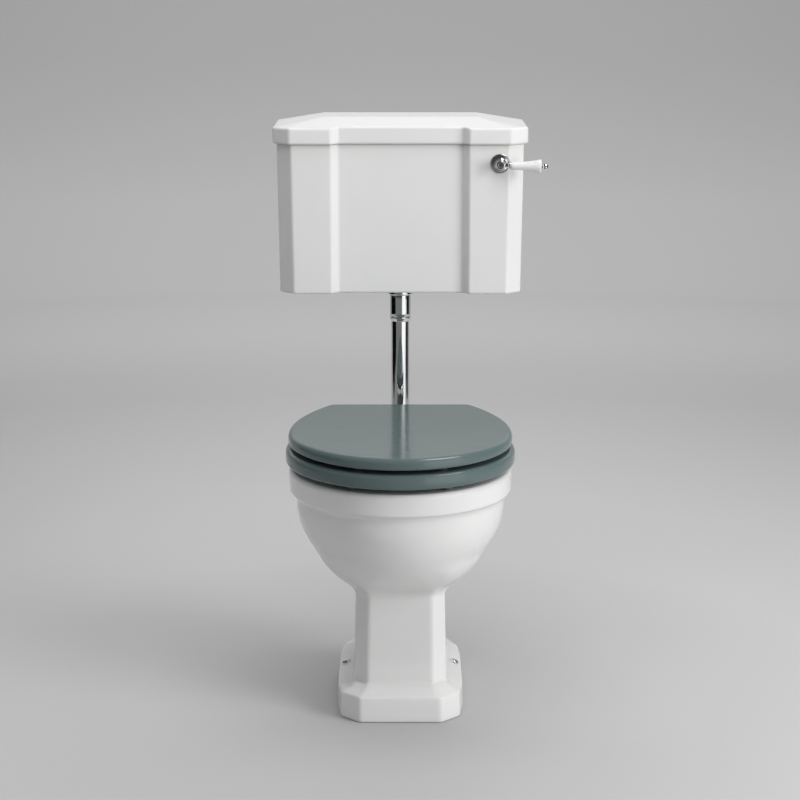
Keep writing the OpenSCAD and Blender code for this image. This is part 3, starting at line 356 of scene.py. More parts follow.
waterway = [leg(a, b, trap_bore) for a, b in trap_legs] + [bend(p, trap_bore + 0.6) for p in trap_path[1:4]]
waterway += [leg((0, 132, outlet_z), (0, 240, outlet_z), 84)]
waterway = fused(waterway, "waterway", 0.004, 3)


def turned(name, profile, base, axis, steps=96):
    """A piece turned round an axis. The profile gives radius and height, and is closed on itself."""
    axis = Vector(axis).normalized()
    side = axis.orthogonal().normalized()
    base = Vector(base) * mm
    bpy.ops.object.select_all(action="DESELECT")
    bpy.ops.mesh.primitive_circle_add(vertices=len(profile), radius=1)
    piece = bpy.context.object
    piece.name = piece.data.name = name
    for vertex, (r, h) in zip(piece.data.vertices, profile):
        vertex.co = base + side * r * mm + axis * h * mm
    bpy.ops.object.mode_set(mode="EDIT")
    bpy.ops.mesh.select_all(action="SELECT")
    bpy.ops.mesh.spin(steps=steps, angle=2 * math.pi, center=base, axis=axis)
    bpy.ops.mesh.select_all(action="SELECT")
    bpy.ops.mesh.remove_doubles(threshold=weld)
    bpy.ops.mesh.delete_loose(use_verts=True, use_edges=True, use_faces=False)
    bpy.ops.mesh.select_all(action="SELECT")
    bpy.ops.mesh.normals_make_consistent(inside=False)
    bpy.ops.object.mode_set(mode="OBJECT")
    return piece


screw_lean = math.atan(foot_rise / foot_run)
screw_x = 91.25
screw_z = foot_z + (foot_w - foot_lip - screw_x) * foot_rise / foot_run


def on_screw(side):
    """Base and axis of the floor screw on one side, square to the foot's sloping top."""
    return (side * screw_x, 0, screw_z), (side * math.sin(screw_lean), 0, math.cos(screw_lean))


def cut_away(piece, tool):
    """Cuts one closed shape out of a piece, and removes the tool."""
    modified(piece, "BOOLEAN", operation="DIFFERENCE", object=tool, solver="EXACT")
    bpy.data.objects.remove(tool)
    return piece


up_z = (0, 0, 1)
hinge_x, hinge_y = 77.5, 164
inlet = leg((0, 120, inlet_z), (0, 230, inlet_z), 46)
pocket = [(0, 350), (16, 350), (16, 387.5), (6, 387.5), (6, 420), (0, 420)]
pockets = [turned(f"pocket_{side}", pocket, (side * hinge_x, hinge_y, 0), up_z) for side in (-1, 1)]
screw_hole = [(0, -30), (5, -30), (5, 30), (0, 30)]
screw_holes = [turned(f"screw_hole_{side}", screw_hole, *on_screw(side)) for side in (-1, 1)]
tools = joined([waterway, inlet] + pockets + screw_holes, "pan_tools")
tools_again = tools.copy()
tools_again.data = tools.data.copy()
bpy.context.scene.collection.objects.link(tools_again)
cut_away(pan, tools)
trap = joined([trap, horn], "trap_and_horn")
cut_away(trap, tools_again)

# Under the foot a web runs across between two bosses, which take the floor screws.
bpy.ops.mesh.primitive_cube_add(size=1, location=(0, 0, 23.5 * mm))
web = bpy.context.object
web.scale = (186 * mm, 16 * mm, 44 * mm)
web = joined([web], "web")
modified(web, "BEVEL", width=0.002, segments=3)
bosses = []
for side in (-1, 1):
    boss = turned(f"boss_{side}", [(5, -52), (13, -52), (13, -7), (5, -7)], *on_screw(side))
    bpy.ops.object.mode_set(mode="EDIT")
    bpy.ops.mesh.select_all(action="SELECT")
    bpy.ops.mesh.bisect(plane_co=(0, 0, mm), plane_no=up_z, use_fill=True, clear_inner=True)
    bpy.ops.object.mode_set(mode="OBJECT")
    bosses.append(boss)
pan = joined([pan, trap, web] + bosses, "pan_china")


def smoothed(piece, degrees=35):
    """Smooth shading that keeps the edges sharper than an angle."""
    chosen(piece)
    bpy.ops.object.shade_smooth_by_angle(angle=math.radians(degrees))
    return piece


smoothed(pan, 32)


class Wire:
    """An output in a finish; sums written on it add Math nodes."""

    def __init__(self, finish, socket):
        self.finish, self.socket = finish, socket

    def sum(self, operation, a, b):
        return self.finish.node("ShaderNodeMath", {"operation": operation}, {0: a, 1: b})

    def __add__(self, other):
        return self.sum("ADD", self, other)

    def __sub__(self, other):
        return self.sum("SUBTRACT", self, other)

    def __rsub__(self, other):
        return self.sum("SUBTRACT", other, self)

    def __mul__(self, other):
        return self.sum("MULTIPLY", self, other)

    def __lt__(self, other):
        return self.sum("LESS_THAN", self, other)

    def __abs__(self):
        return self.finish.node("ShaderNodeMath", {"operation": "ABSOLUTE"}, {0: self})

    __radd__ = __add__
    __rmul__ = __mul__


class Finish:
    """A node material made for one finish of this toilet."""

    def __init__(self, name, **constants):
        self.material = bpy.data.materials.new(name)
        self.material.use_nodes = True
        self.tree = self.material.node_tree
        self.tree.nodes.clear()
        self.shader = self.tree.nodes.new("ShaderNodeBsdfPrincipled")
        output = self.tree.nodes.new("ShaderNodeOutputMaterial")
        self.tree.links.new(self.shader.outputs["BSDF"], output.inputs["Surface"])
        for socket, value in constants.items():
            self.shader.inputs[socket.replace("_", " ").title().replace("Ior", "IOR")].default_value = value
        self.place = self.node("ShaderNodeTexCoord", output="Object")

    def node(self, kind, settings=None, inputs=None, output=0):
        """Adds a node: first its settings, then the values or wires of its sockets."""
        node = self.tree.nodes.new(kind)
        for key, value in (settings or {}).items():
            if key == "stops":
                ramp = node.color_ramp
                for index, (position, colour) in enumerate(value):
                    stop = ramp.elements[index] if index < 2 else ramp.elements.new(position)
                    stop.position, stop.color = position, (*colour, 1)
            else:
                setattr(node, key, value)
        for key, value in (inputs or {}).items():
            self.plug(value, node.inputs[key])
        return Wire(self, node.outputs[output])

    def plug(self, value, socket):
        if isinstance(value, Wire):
            self.tree.links.new(value.socket, socket)
        else:
            socket.default_value = value

    def noise(self, scale, detail=2.0, place=None, roughness=0.5):
        return self.node("ShaderNodeTexNoise", inputs={"Vector": place or self.place, "Scale": scale,
                                                       "Detail": detail, "Roughness": roughness})

    def stretched(self, x, y, z):
        return self.node("ShaderNodeMapping", inputs={"Vector": self.place, "Scale": (x, y, z)})

    def mix(self, mask, a, b):
        """A colour between two colours."""
        a, b = [(*c, 1) if isinstance(c, tuple) else c for c in (a, b)]
        return self.node("ShaderNodeMix", {"data_type": "RGBA"}, {0: mask, 6: a, 7: b}, 2)

    def share(self, value, low, high):
        """0 below low and 1 above high, or the other way round."""
        return self.node("ShaderNodeMapRange", {"clamp": True}, {"Value": value, "From Min": low,
                                                                 "From Max": high})

    def coat(self, colour, roughness, relief, distance, strength=1.0, normal=None, **others):
        """Plugs colour, roughness and relief into the shader. The relief's distance is in metres."""
        inputs = {"Height": relief, "Distance": distance, "Strength": strength}
        if normal:
            inputs["Normal"] = normal
        self.plug(colour, self.shader.inputs["Base Color"])
        self.plug(roughness, self.shader.inputs["Roughness"])
        self.plug(self.node("ShaderNodeBump", inputs=inputs), self.shader.inputs["Normal"])
        for socket, value in others.items():
            self.plug(value, self.shader.inputs[socket.replace("_", " ").title()])

    def on(self, piece, body, slot, *nodes):
        """Gives a piece this finish, and says what it rides on and stands for."""
        piece.data.materials.clear()
        piece.data.materials.append(self.material)
        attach(piece, body)
        if nodes:
            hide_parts(*nodes)
        return piece


# The glaze is a clear glass over white slip, a little uneven from the firing. Two faces stay bare: the
# foot's underside, and the cistern's top edge, on which its lid rests.
cistern_top = 903.5
glaze = Finish("white_china", ior=1.5)
height = glaze.node("ShaderNodeSeparateXYZ", inputs={0: glaze.place}, output="Z")
bare = glaze.share(height, 0.0013, 0.0006) + (abs(height - cistern_top * mm) < 0.0004)
drift = glaze.noise(5, 3)
pools = glaze.share(glaze.noise(38, 2), 0.35, 0.75)
flecks = glaze.share(glaze.noise(900, 1), 0.76, 0.8)
slip = glaze.mix(drift, (0.79, 0.79, 0.785), (0.83, 0.83, 0.825))
slip = glaze.mix(pools * 0.25, slip, (0.76, 0.775, 0.775))
slip = glaze.mix(flecks * 0.12, slip, (0.45, 0.4, 0.34))
glaze.coat(glaze.mix(bare, slip, (0.66, 0.61, 0.53)), drift * 0.05 + pools * 0.02 + bare * 0.55 + 0.045,
           glaze.noise(16, 2) * 1.2 + glaze.noise(240, 2) * 0.05 + bare * glaze.noise(2600, 2) * 0.1,
           0.0004, 0.35, glaze.node("ShaderNodeBevel", {"samples": 4}, {"Radius": 0.004}))
glaze.on(pan, "toilet", "white_china", "pan")

# Floor screws
# Two plated wood screws lean outwards through plastic sleeves in the foot, each under a chromed cap
# that snaps over its head.


def refined(node, bevel=0.3):
    """A copy of a small CAD piece: corners merged, flats made whole, edges eased, and rounds smooth."""
    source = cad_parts[node]
    piece = source.copy()
    piece.data = source.data.copy()
    piece.parent = None
    piece.name = piece.data.name = node + "_piece"
    for key in list(piece.keys()):
        del piece[key]
    bpy.context.scene.collection.objects.link(piece)
    chosen(piece)
    bpy.ops.object.mode_set(mode="EDIT")
    bpy.ops.mesh.select_all(action="SELECT")
    bpy.ops.mesh.remove_doubles(threshold=2 * weld)
    bpy.ops.mesh.dissolve_limited(angle_limit=math.radians(0.4))
    bpy.ops.object.mode_set(mode="OBJECT")
    modified(piece, "BEVEL", width=bevel * mm, segments=2, limit_method="ANGLE", angle_limit=math.radians(40),
             use_clamp_overlap=True)
    return smoothed(piece)


chrome = Finish("chromed_brass", metallic=1.0)
smear = chrome.noise(42, 3)
lines = chrome.noise(1, 2, chrome.stretched(900, 900, 60))
chrome.coat(chrome.mix(smear, (0.76, 0.77, 0.785), (0.84, 0.845, 0.85)),
            chrome.share(smear, 0.35, 0.8) * 0.05 + lines * 0.02 + 0.035,
            chrome.noise(70, 2) * 0.6 + lines * 0.05, 0.0002, 0.25)

nylon = Finish("white_nylon", subsurface_weight=0.15, subsurface_scale=0.002)
nylon.coat(nylon.mix(nylon.noise(120, 2), (0.74, 0.73, 0.69), (0.8, 0.79, 0.76)),
           nylon.noise(400, 2) * 0.15 + 0.38, nylon.noise(800, 2), 0.0001, 0.5)

chrome.on(refined("floor_screws"), "toilet", "chromed_brass", "floor_screws")
nylon.on(refined("floor_screw_sleeves", 0.15), "toilet", "white_nylon", "floor_screw_sleeves")
cap = [(0, 5.25), (1.4, 5.2), (2.8, 5.0), (4.2, 4.65), (5.4, 4.15), (6.4, 3.45), (7.1, 2.6), (7.5, 1.7),
       (7.65, 0.9), (7.6, 0.35), (7.0, 0.35), (6.5, 0.9), (6.3, 2.1), (5, 3.1), (3, 3.7), (0, 3.9)]
caps = [turned(f"floor_screw_cap_{side}", cap, *on_screw(side), 64) for side in (-1, 1)]
chrome.on(smoothed(joined(caps, "floor_screw_caps_piece")), "toilet", "chromed_brass", "floor_screw_caps")

# Seat hinge
# Two chromed posts are bolted through the deck with rubber washers and wing nuts of nylon. A rod runs
# through their heads, and straps screwed to ring and lid turn on it.

rubber = Finish("black_rubber", ior=1.45)
rubber.coat(rubber.mix(rubber.noise(60, 3), (0.018, 0.018, 0.019), (0.04, 0.04, 0.041)),
            rubber.noise(500, 3) * 0.2 + 0.5, rubber.noise(1400, 3), 0.0002, 0.6)

rod_z = 439.75
post = [(5.1, rim_top), (14, rim_top), (14.8, 403.9), (15, 404.6), (14.9, 406), (14.2, 406.7), (12.4, 407.5),
        (10.4, 408.6), (8.8, 410.1), (7.9, 412), (7.5, 414.5), (7.4, 420), (7.5, 427), (7.8, 431.5),
        (8.6, 433.6), (9.5, 436), (9.95, 439), (9.9, 441), (9.2, 443.8), (7.9, 446), (6, 447.9), (3.6, 449.2),
        (1.4, 449.7), (0, 449.75), (0, 444), (5.1, 443), (5.1, 420)]
posts = [turned(f"hinge_post_{side}", post, (side * hinge_x, hinge_y, 0), up_z) for side in (-1, 1)]
chrome.on(smoothed(joined(posts, "hinge_posts_piece")), "toilet", "chromed_brass", "hinge_posts")
rod_half = 93
rod_end = [(5, 0), (5, -1), (5.6, -1.3), (6.2, 0), (6.5, 2), (6.3, 4), (5.5, 5.8), (4.2, 7.1), (2.4, 7.9),
           (0, 8.2)]
rod = [(r, rod_half + h) for r, h in rod_end] + [(r, -rod_half - h) for r, h in reversed(rod_end)]
rod = turned("hinge_rod_piece", rod, (0, hinge_y, rod_z), (1, 0, 0), 64)
chrome.on(smoothed(rod), "toilet", "chromed_brass", "hinge_rod")
chrome.on(refined("hinge_bolts", 0.4), "toilet", "chromed_brass", "hinge_bolts")
rubber.on(refined("hinge_washers", 0.4), "toilet", "black_rubber", "hinge_washers")
nylon.on(refined("hinge_nuts", 0.6), "toilet", "white_nylon", "hinge_nuts")
for name, body, bevel in (("ring_straps", "ring", 0.4), ("lid_straps", "lid", 0.4),
                          ("ring_strap_screws", "ring", 0.25), ("lid_strap_screws", "lid", 0.25)):
    chrome.on(refined(name, bevel), body, "chromed_brass", name)

# Seat
# Ring and lid are moulded wood in a satin grey-green paint, rounded over at their upper edges. Grey
# rubber buffers keep them off the rim and off each other.

seat_steps = stepped(10, 5, 5, 2)
ring_low, ring_high = 413.5, 437.5
lid_low, lid_high = 445, 463
lid_narrow = 4.5                                # how much narrower the lid is than the ring, on each side
seat_w, seat_front, seat_back, seat_corner = 187.5, 212, 205, 9
hole_w, hole_reach, hole_y = 113, 140.5, -66.5


def seat_at(inset, z, narrow=0.0):
    sizes = seat_w - narrow - inset, seat_front - inset, seat_back - inset, draw_in, seat_corner
    return mirrored([(x, y + rim_y, z) for x, y in [egg(s, *sizes) for s in seat_steps]])


def hole_at(grow, z):
    sizes = hole_w + grow, hole_reach + grow, hole_reach + grow, hole_y
    return pan_ring(z, oval, *sizes, steps=seat_steps)


def over(r, top):
    """Steps of an edge rounded over at the top: inset and height."""
    turns = [math.radians(a) for a in range(0, 91, 10)]
    return [(r * (1 - math.cos(a)), top - r * (1 - math.sin(a))) for a in turns]


def under(r, bottom):
    return [(i, 2 * bottom - z) for i, z in reversed(over(r, bottom))]


top_edge, ring_foot, lid_foot = over(8, ring_high), under(4, ring_low), under(3, lid_low)
ring_rings = [hole_at(8, ring_low), seat_at(8, ring_low)] + [seat_at(i, z) for i, z in ring_foot]
ring_rings += [seat_at(0, 423)] + [seat_at(i, z) for i, z in top_edge] + [seat_at(9.5, ring_high)]
ring_rings += [hole_at(9.5, ring_high)] + [hole_at(i, z) for i, z in reversed(top_edge)] + [hole_at(0, 423)]
ring_rings += [hole_at(i, z) for i, z in reversed(ring_foot)] + [hole_at(8, ring_low)]
seat_ring = smoothed(drawn("seat_ring_wood", ring_rings), 50)

lid_edge = [(14, lid_low), (6, lid_low)] + lid_foot + [(0, 451.5)] + over(8, lid_high)
lid_edge += [(9.5, lid_high), (14, lid_high)]
seat_lid = smoothed(drawn("seat_lid_wood", [seat_at(i, z, lid_narrow) for i, z in lid_edge]), 50)

paint = Finish("painted_wood")
stipple = paint.noise(620, 3)
strokes = paint.noise(1, 3, paint.stretched(14, 260, 260))
cloud = paint.noise(7, 3)
paint.coat(paint.mix(cloud, (0.102, 0.141, 0.142), (0.121, 0.164, 0.165)),
           cloud * 0.04 + stipple * 0.05 + strokes * 0.04 + 0.06,
           stipple * 0.35 + strokes * 0.5 + paint.noise(30, 2) * 0.8, 0.00025, 0.3)
paint.on(seat_ring, "ring", "painted_wood", "seat_ring")
paint.on(seat_lid, "lid", "painted_wood", "seat_lid")

gum = Finish("pale_rubber", ior=1.45)
gum.coat(gum.mix(gum.noise(50, 3), (0.11, 0.11, 0.108), (0.15, 0.15, 0.147)), gum.noise(300, 3) * 0.2 + 0.4,
         gum.noise(900, 3), 0.0002, 0.6)
gum.on(refined("ring_buffers", 0.5), "ring", "pale_rubber", "ring_buffers")
gum.on(refined("lid_buffers", 0.5), "lid", "pale_rubber", "lid_buffers")

# Cistern
# A cast china box with cut front corners and a sunk front panel, narrower at the foot. Its lid is a
# separate casting whose rim drops inside the walls.

wall_y = 382
cistern_w, cistern_d, cistern_cut = 426, 175.5, 25
cistern_low = 644.2
taper_w, taper_d, taper_high = 7, 5.5, 257.5            # what its width and depth lose over this height
panel_x, panel_slant, panel_deep = 118.75, 11.3, 13     # half the panel's width, and the slant of its sides
lid_half, lid_cut = 220, 29
lid_front, lid_edge_z, lid_top = 200, 931.5, 945
margin = 84.5                                           # the lid's slope, from front to back
soft_angle = math.radians(7)                            # sharper edges than this are rounded
pipe_axis = (0, 287, 0)
lever_base = (171, 207.19, 871)
forward = (0, -1, 0)


def both_sides(half):
    return half + [(-x, y, z) for x, y, z in reversed(half)]


def cistern_corners(w, d, t, z):
    """Corner points of the cistern's plan, with every side drawn in by t."""
    front = wall_y - d
    slope = math.hypot(panel_slant, panel_deep)
    panel_in = t * (1 - panel_slant / slope) / (panel_deep / slope)
    cut_in = t * (math.sqrt(2) - 1)
    return both_sides([(panel_x - panel_slant + panel_in, front + panel_deep + t, z),
                       (panel_x + panel_in, front + t, z),
                       (w / 2 - cistern_cut - cut_in, front + t, z),
                       (w / 2 - t, front + cistern_cut + cut_in, z),
                       (w / 2 - t, wall_y - t, z)])


def cistern_ring(z, t):
    share = (cistern_top - z) / taper_high
    return cistern_corners(cistern_w - taper_w * share, cistern_d - taper_d * share, t, z)


def faced(piece):
    """Smooth shading that leaves flat faces flat."""
    smoothed(piece, 42)
    return modified(piece, "WEIGHTED_NORMAL", keep_sharp=True, weight=100)


walls = [cistern_ring(z, t) for z, t in ((cistern_low, 0), (cistern_top, 0), (cistern_top, 10), (658, 10))]
cistern = drawn("cistern_china", walls)
modified(cistern, "BEVEL", width=0.003, segments=6, limit_method="ANGLE", angle_limit=soft_angle)


def hole(name, r, start, end, base, axis):
    return turned(name, [(0, start), (r, start), (r, end), (0, end)], base, axis)


holes = [hole("siphon_hole", 17.4, 630, 680, pipe_axis, up_z),
         hole("valve_hole", 10.8, 630, 680, (-170, 322, 0), up_z),
         hole("lever_hole", 6.4, -20, 30, lever_base, (0, 1, 0))]
holes += [hole(f"wall_hole_{side}", 4, -20, 5, (side * 150, wall_y, 879.5), (0, 1, 0)) for side in (-1, 1)]
cut_away(cistern, joined(holes, "cistern_tools"))
glaze.on(faced(cistern), "toilet", "white_china", "cistern")


def lid_corners(z, rise=0.0):
    """The lid's outline, with the sunk panel carried up through it. Rise lifts the panel's own corners."""
    return both_sides([(panel_x - panel_slant, lid_front + panel_deep, z + rise), (panel_x, lid_front, z),
                       (lid_half - lid_cut, lid_front, z), (lid_half, lid_front + lid_cut, z),
                       (lid_half, wall_y, z)])


def flat_corners(z):
    back = lid_front + margin
    return both_sides([(95, back, z), (108, back, z), (130.5, back, z), (135.5, back + 5, z),
                       (135.5, wall_y, z)])


tongue = ((20, 919.5), (20, 896.5), (13, 896.5), (13, cistern_top))     # inset from the walls, and height
cover = [cistern_corners(cistern_w, cistern_d, t, z) for t, z in tongue]
cover += [lid_corners(cistern_top), lid_corners(lid_edge_z, panel_deep * (lid_top - lid_edge_z) / margin),
          flat_corners(lid_top)]
cover = drawn("cistern_lid_china", cover)
modified(cover, "BEVEL", width=0.0034, segments=5, limit_method="ANGLE", angle_limit=soft_angle)
glaze.on(faced(cover), "cover", "white_china", "cistern_lid")

# Flush pipe
# A chromed brass pipe hangs from the cistern by a nut, a coupling sleeve and a sealing ring with a
# bead. It turns back behind the pan, where a rubber cone joins it to the flush inlet.

nut = [(17.1, 634), (18.3, 633.8), (18.4, 632.4), (19.4, 632.2), (20.6, 632.5), (21.3, 633.2), (21.5, 634.1),
       (21.5, 635.8), (21.5, 643), (21.3, 644.2), (20.7, 645.2), (19.8, 645.9), (18.8, 646), (17.1, 646)]
sleeve = [(16.1, 594), (17.2, 594), (17.9, 594.4), (18.25, 595.2), (18.25, 600), (18.25, 625), (18.25, 632.6),
          (18.0, 633.5), (17.4, 634), (17.1, 634), (17.1, 604), (16.1, 604)]
olive = [(16.1, 585), (16.5, 585), (16.9, 585.5), (17.4, 586.8), (17.9, 588.6), (18.3, 590.4), (18.5, 591.8),
         (18.35, 593), (17.9, 593.7), (17.2, 594), (16.1, 594)]
for name, profile in (("flush_nut", nut), ("flush_sleeve", sleeve), ("flush_olive", olive)):
    fitting = turned(name + "_piece", profile, pipe_axis, up_z, 128)
    chrome.on(smoothed(fitting), "toilet", "chromed_brass", name)

pipe_bend = 75
bend_y, bend_z = pipe_axis[1] - pipe_bend, inlet_z + pipe_bend
pipe_bore, pipe_r, pipe_chamfer = 14.5, 16, 15.6
pipe_up, pipe_run = 176, 30                     # straight lengths above the bend and past it


def pipe_ring(r, turn, up=0.0, run=0.0):
    """A ring of the pipe, by its angle round the bend, its height above the bend or its reach past it."""
    a = math.radians(turn)
    centre = Vector((0, bend_y + pipe_bend * math.cos(a) - run, bend_z - pipe_bend * math.sin(a) + up))
    out, across = Vector((0, math.cos(a), -math.sin(a))), Vector((1, 0, 0))
    turns = [math.tau * k / 72 for k in range(72)]
    return [tuple(centre + out * r * math.cos(b) + across * r * math.sin(b)) for b in turns]


pipe_places = [(0, 120), (0, 60), (0, 0)] + [(a, 0) for a in range(5, 91, 5)]
pipe_rings = [pipe_ring(pipe_chamfer, 0, pipe_up)]
pipe_rings += [pipe_ring(pipe_r, turn, up) for turn, up in [(0, pipe_up - 0.4)] + pipe_places]
pipe_rings += [pipe_ring(pipe_r, 90, 0, pipe_run - 0.4), pipe_ring(pipe_chamfer, 90, 0, pipe_run)]
pipe_rings += [pipe_ring(pipe_bore, 90, 0, pipe_run)]
pipe_rings += [pipe_ring(pipe_bore, turn, up) for turn, up in reversed([(0, pipe_up)] + pipe_places)]
pipe_rings += [pipe_ring(pipe_chamfer, 0, pipe_up)]
chrome.on(smoothed(drawn("flush_pipe_piece", pipe_rings)), "toilet", "chromed_brass", "flush_pipe")

cone = [(16.05, -22), (22.2, -22), (22.8, -21), (22.8, -15), (22.3, -14), (22.8, -13), (22.8, -6), (22.8, 0),
        (30.4, 0), (31, 0.6), (31, 5), (30.2, 6), (28, 6.3), (25.5, 7.2), (23.8, 9), (23, 11.5), (22.8, 13.2),
        (22, 14), (16.6, 14), (16.05, 13.4)]
cone = turned("flush_cone_piece", cone, (0, 202, inlet_z), (0, 1, 0), 128)
rubber.on(smoothed(cone), "toilet", "black_rubber", "flush_cone")

# Flush lever
# A chromed rose and bush hold the spindle in the cistern's front, near its right end. Outside, a hub and
# neck carry a glazed china handle with a chromed end ball; inside, a brass arm lifts the siphon's rod.

brass = Finish("bare_brass", metallic=1.0)
turning = brass.noise(1, 3, brass.stretched(1100, 200, 1100))
brass.coat(brass.mix(brass.noise(65, 4), (0.48, 0.33, 0.13), (0.66, 0.49, 0.22)),
           turning * 0.18 + brass.noise(90, 3) * 0.12 + 0.18,
           turning + brass.noise(240, 2) * 0.4, 0.0002, 0.4)

rose = [(4.05, -20), (6, -20), (6, -0.6), (16.2, -0.6), (16.8, -0.2), (17, 0.5), (16.9, 1.2), (16.4, 1.9),
        (15.6, 2.3), (14.9, 2.3), (14.4, 2.05), (13.9, 2.1), (12.5, 2.35), (11.0, 2.6), (10.2, 2.8),
        (9.7, 3.3), (9.3, 4.4), (9.0, 6.5), (8.6, 8.6), (8.2, 9.8), (7.6, 10.3), (7.0, 10.4), (4.05, 10.4)]
rose = turned("lever_bush_piece", rose, lever_base, forward, 128)
chrome.on(smoothed(rose), "toilet", "chromed_brass", "lever_bush")
brass.on(refined("lever_back_nut", 0.5), "toilet", "bare_brass", "lever_back_nut")

droop = math.radians(92.2)                      # from straight up round to the right
lever_axis = (math.sin(droop), 0, math.cos(droop))
handle_start = (lever_base[0], lever_base[1] - 25, lever_base[2])
hub = [(0, 11.0), (6.6, 11.0), (7.4, 11.3), (7.9, 12), (8.0, 13), (8.0, 28.4), (7.9, 29.6), (7.5, 30.5),
       (6.8, 31.1), (5.9, 31.4), (4.9, 31.5), (4.4, 31.3), (3.9, 31.35), (0, 31.5)]
neck = [(0, 0), (3.9, 0), (3.9, 4), (3.75, 7), (3.8, 10), (4.1, 11.6), (4.7, 12.4), (5.4, 12.9), (6.1, 13.5),
        (6.4, 14.4), (6.35, 15.4), (5.9, 16.2), (5.3, 16.6), (5.2, 17), (0, 17)]
inner_rod = [(0, -36), (3.6, -36), (4, -35.6), (4, 12), (0, 12)]
spindle = joined([turned("hub", hub, lever_base, forward), turned("neck", neck, handle_start, lever_axis, 64),
                  turned("inner_rod", inner_rod, lever_base, forward, 64)], "lever_spindle_piece")
chrome.on(smoothed(spindle), "lever", "chromed_brass", "lever_spindle")
handle = [(0, 17), (5.0, 17), (6.0, 17.3), (6.6, 18), (6.8, 19), (6.85, 22), (6.9, 27), (7.05, 32), (7.4, 37),
          (7.9, 42), (8.6, 47), (9.3, 51.5), (9.9, 55), (10.5, 58), (11.2, 61), (11.8, 63.4), (12.15, 65.4),
          (12.2, 66.6), (12.05, 67.6), (11.5, 68.4), (10.4, 68.9), (8.5, 69), (0, 69)]
handle = turned("lever_handle_piece", handle, handle_start, lever_axis)
glaze.on(smoothed(handle, 60), "lever", "white_china", "lever_handle")
ball_r, ball_z = 5.6, 75.4
turns = [math.radians(a) for a in range(30, 181, 10)]
ball = [(ball_r * math.sin(a), ball_z - ball_r * math.cos(a)) for a in turns]
finial = [(0, 69), (4.2, 69), (4.5, 69.3), (4.5, 70.2), (4.1, 70.6), (2.9, 70.6)] + ball
finial = turned("lever_finial_piece", finial, handle_start, lever_axis, 64)
chrome.on(smoothed(finial), "lever", "chromed_brass", "lever_finial")
brass.on(refined("lever_inner_arm", 0.4), "lever", "bare_brass", "lever_inner_arm")

# Siphon
# Moulded white plastic: a bell, a riser and a down leg that drains into the flush pipe. The plunger
# in the bell, a plate with a rubber sheet on it, hangs on a steel rod from the lever's arm.

plastic = Finish("white_plastic", subsurface_weight=0.1, subsurface_scale=0.002)
flow = plastic.noise(26, 3)
plastic.coat(plastic.mix(flow, (0.7, 0.7, 0.67), (0.78, 0.78, 0.76)),
             flow * 0.12 + plastic.noise(500, 2) * 0.08 + 0.26, plastic.noise(700, 2) * 0.5 + flow * 0.4,
             0.0002, 0.4)
steel = Finish("bare_steel", metallic=1.0)
steel_lines = steel.noise(1, 3, steel.stretched(1500, 1500, 160))
steel.coat(steel.mix(steel.noise(80, 3), (0.46, 0.455, 0.445), (0.62, 0.615, 0.6)), steel_lines * 0.2 + 0.24,
           steel_lines + steel.noise(300, 2) * 0.5, 0.0002, 0.5)
grey_plastic = Finish("grey_plastic")
grey_plastic.coat(grey_plastic.mix(grey_plastic.noise(40, 3), (0.24, 0.245, 0.25), (0.32, 0.325, 0.33)),
                  grey_plastic.noise(500, 2) * 0.15 + 0.35, grey_plastic.noise(800, 2), 0.0002, 0.4)
plastic.on(refined("siphon_body", 0.5), "toilet", "white_plastic", "siphon_body")
rubber.on(refined("siphon_washer", 0.4), "toilet", "black_rubber", "siphon_washer")
grey_plastic.on(refined("plunger_plate", 0.4), "siphon_lift", "grey_plastic", "plunger_plate")
rubber.on(refined("plunger_diaphragm", 0.2), "siphon_lift", "black_rubber", "plunger_diaphragm")
steel.on(refined("lift_rod", 0.3), "siphon_lift", "bare_steel", "lift_rod")

# Fill valve
# A cast and turned brass ball valve, bolted through the cistern's floor. The float arm turns on a
# steel pin and pushes the piston; the ball float is spun from two halves of copper sheet.

copper = Finish("copper", metallic=1.0)
tarnish = copper.share(copper.noise(20, 5, roughness=0.62), 0.4, 0.72)
copper.coat(copper.mix(tarnish, (0.62, 0.3, 0.17), (0.3, 0.15, 0.1)),
            tarnish * 0.25 + copper.noise(140, 3) * 0.1 + 0.2,
            copper.noise(60, 3) + copper.noise(400, 2) * 0.2, 0.0003, 0.4)
brass.on(refined("fill_valve", 0.5), "toilet", "bare_brass", "fill_valve")
rubber.on(refined("fill_valve_washer", 0.3), "toilet", "black_rubber", "fill_valve_washer")
brass.on(refined("fill_valve_nut", 0.6), "toilet", "bare_brass", "fill_valve_nut")
brass.on(refined("valve_piston", 0.3), "piston", "bare_brass", "valve_piston")
steel.on(refined("float_pin", 0.3), "toilet", "bare_steel", "float_pin")
brass.on(refined("float_arm", 0.3), "float", "bare_brass", "float_arm")
float_low, float_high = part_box("float_ball")
float_centre = (float_low + float_high) / 2 / mm
float_r = 40
shell = [(float_r * math.sin(math.radians(a)), -float_r * math.cos(math.radians(a))) for a in range(0, 88, 4)]
seam_r = float_r * math.cos(math.radians(2))
seam = [(seam_r, -1.4), (40.35, -1.1), (40.5, 0), (40.35, 1.1), (seam_r, 1.4)]
shell = shell + seam + [(r, -h) for r, h in reversed(shell)]
float_turn = math.radians(35)
float_axis = (math.cos(float_turn), 0, -math.sin(float_turn))
float_ball = turned("float_ball_piece", shell, float_centre, float_axis)
copper.on(smoothed(float_ball, 40), "float", "copper", "float_ball")
